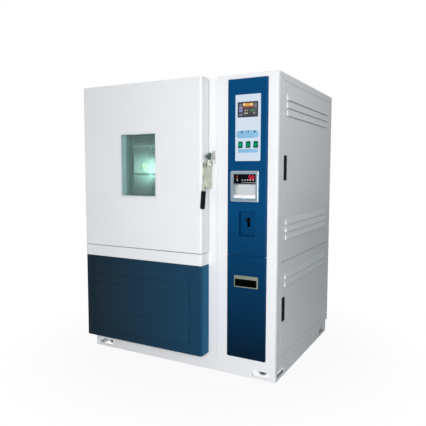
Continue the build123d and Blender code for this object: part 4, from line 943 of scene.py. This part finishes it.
paper.scale = (paper_right - paper_left, paper_tall, 1.0)
paper.location = paper_middle
bpy.ops.object.transform_apply(location=True, rotation=True, scale=True)
top_depth = 0.021
slope = 0.018
bow = 0.003
lift_off = 0.0006
for vertex in paper.data.vertices:
    down = (paper_top - vertex.co.z) / paper_tall
    vertex.co.y = chart_face + top_depth - slope * down + bow * math.sin(math.pi * down) - lift_off
thickness = paper.modifiers.new("thickness", "SOLIDIFY")
thickness.thickness = 0.0003
bpy.context.view_layer.objects.active = paper
bpy.ops.object.modifier_apply(modifier=thickness.name)
settle(paper, chart_paper, "cabinet")
bar_white = moulded_plastic("take_up_white", (0.82, 0.84, 0.86), 0.4)
bar = raised_plate(
    "take_up_bar", chart_low.x + 0.001, chart_high.x - 0.004, chart_low.z + 0.002,
    chart_low.z + 0.021, chart_face + 0.006, thick=0.008, corner=0.002, edge=0.0014,
)
settle(bar, bar_white, "cabinet")
tab = raised_plate(
    "take_up_tab", chart_low.x + 0.055, chart_low.x + 0.083, chart_low.z + 0.0005,
    chart_low.z + 0.017, chart_face - 0.002, thick=0.0018, corner=0.002, edge=0.0006,
)
settle(tab, bar_white, "cabinet")

# Mains breaker: a black moulded body behind the column's pocket, with its toggle on a steel pin.
# Only the toggle shows, in the slot of the pocket.
dress(black_plastic, "breaker", "breaker_toggle")

# Tank drawer: the pull is a bright pressed rim round a deep finger well, whose inside is painted
# near-black and matt as painted shade. Behind the front sits the humidifier's water tank in pale
# plastic, on plated rails.
pull_metal = brushed_steel("pull_champagne", (0.46, 0.50, 0.40), 0.34, across_grain)
rim_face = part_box("drawer_pull")[0].y
# Painted shade: behind the rim, the finger well is painted near-black and matt.
painted_well_shade = paint_light_and_shade_tone(
    pull_metal, "Y", rim_face + 0.0024, rim_face + 0.0030, (0.002, 0.0025, 0.002),
)
dull_metal(pull_metal, painted_well_shade)
dress(pull_metal, "drawer_pull")
tank_plastic = moulded_plastic("tank_polythene", (0.74, 0.79, 0.82), 0.4)
dress(tank_plastic, "water_tank")
dress(zinc, "drawer_rails")

# Side doors: white coated trays with pressed louvres, hung on hidden pins at the rear edge.
# Each has a flush black latch cup with a darker paddle that lifts on its cross pin.
dress(white_coat, "upper_side_door", "lower_side_door")
cup_plastic = moulded_plastic("latch_cup_moulding", (0.010, 0.012, 0.013), 0.5, gloss=0.1)
dress(cup_plastic, "upper_latch_cup", "lower_latch_cup")
dress(black_plastic, "upper_latch_paddle", "lower_latch_paddle")

low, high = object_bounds()
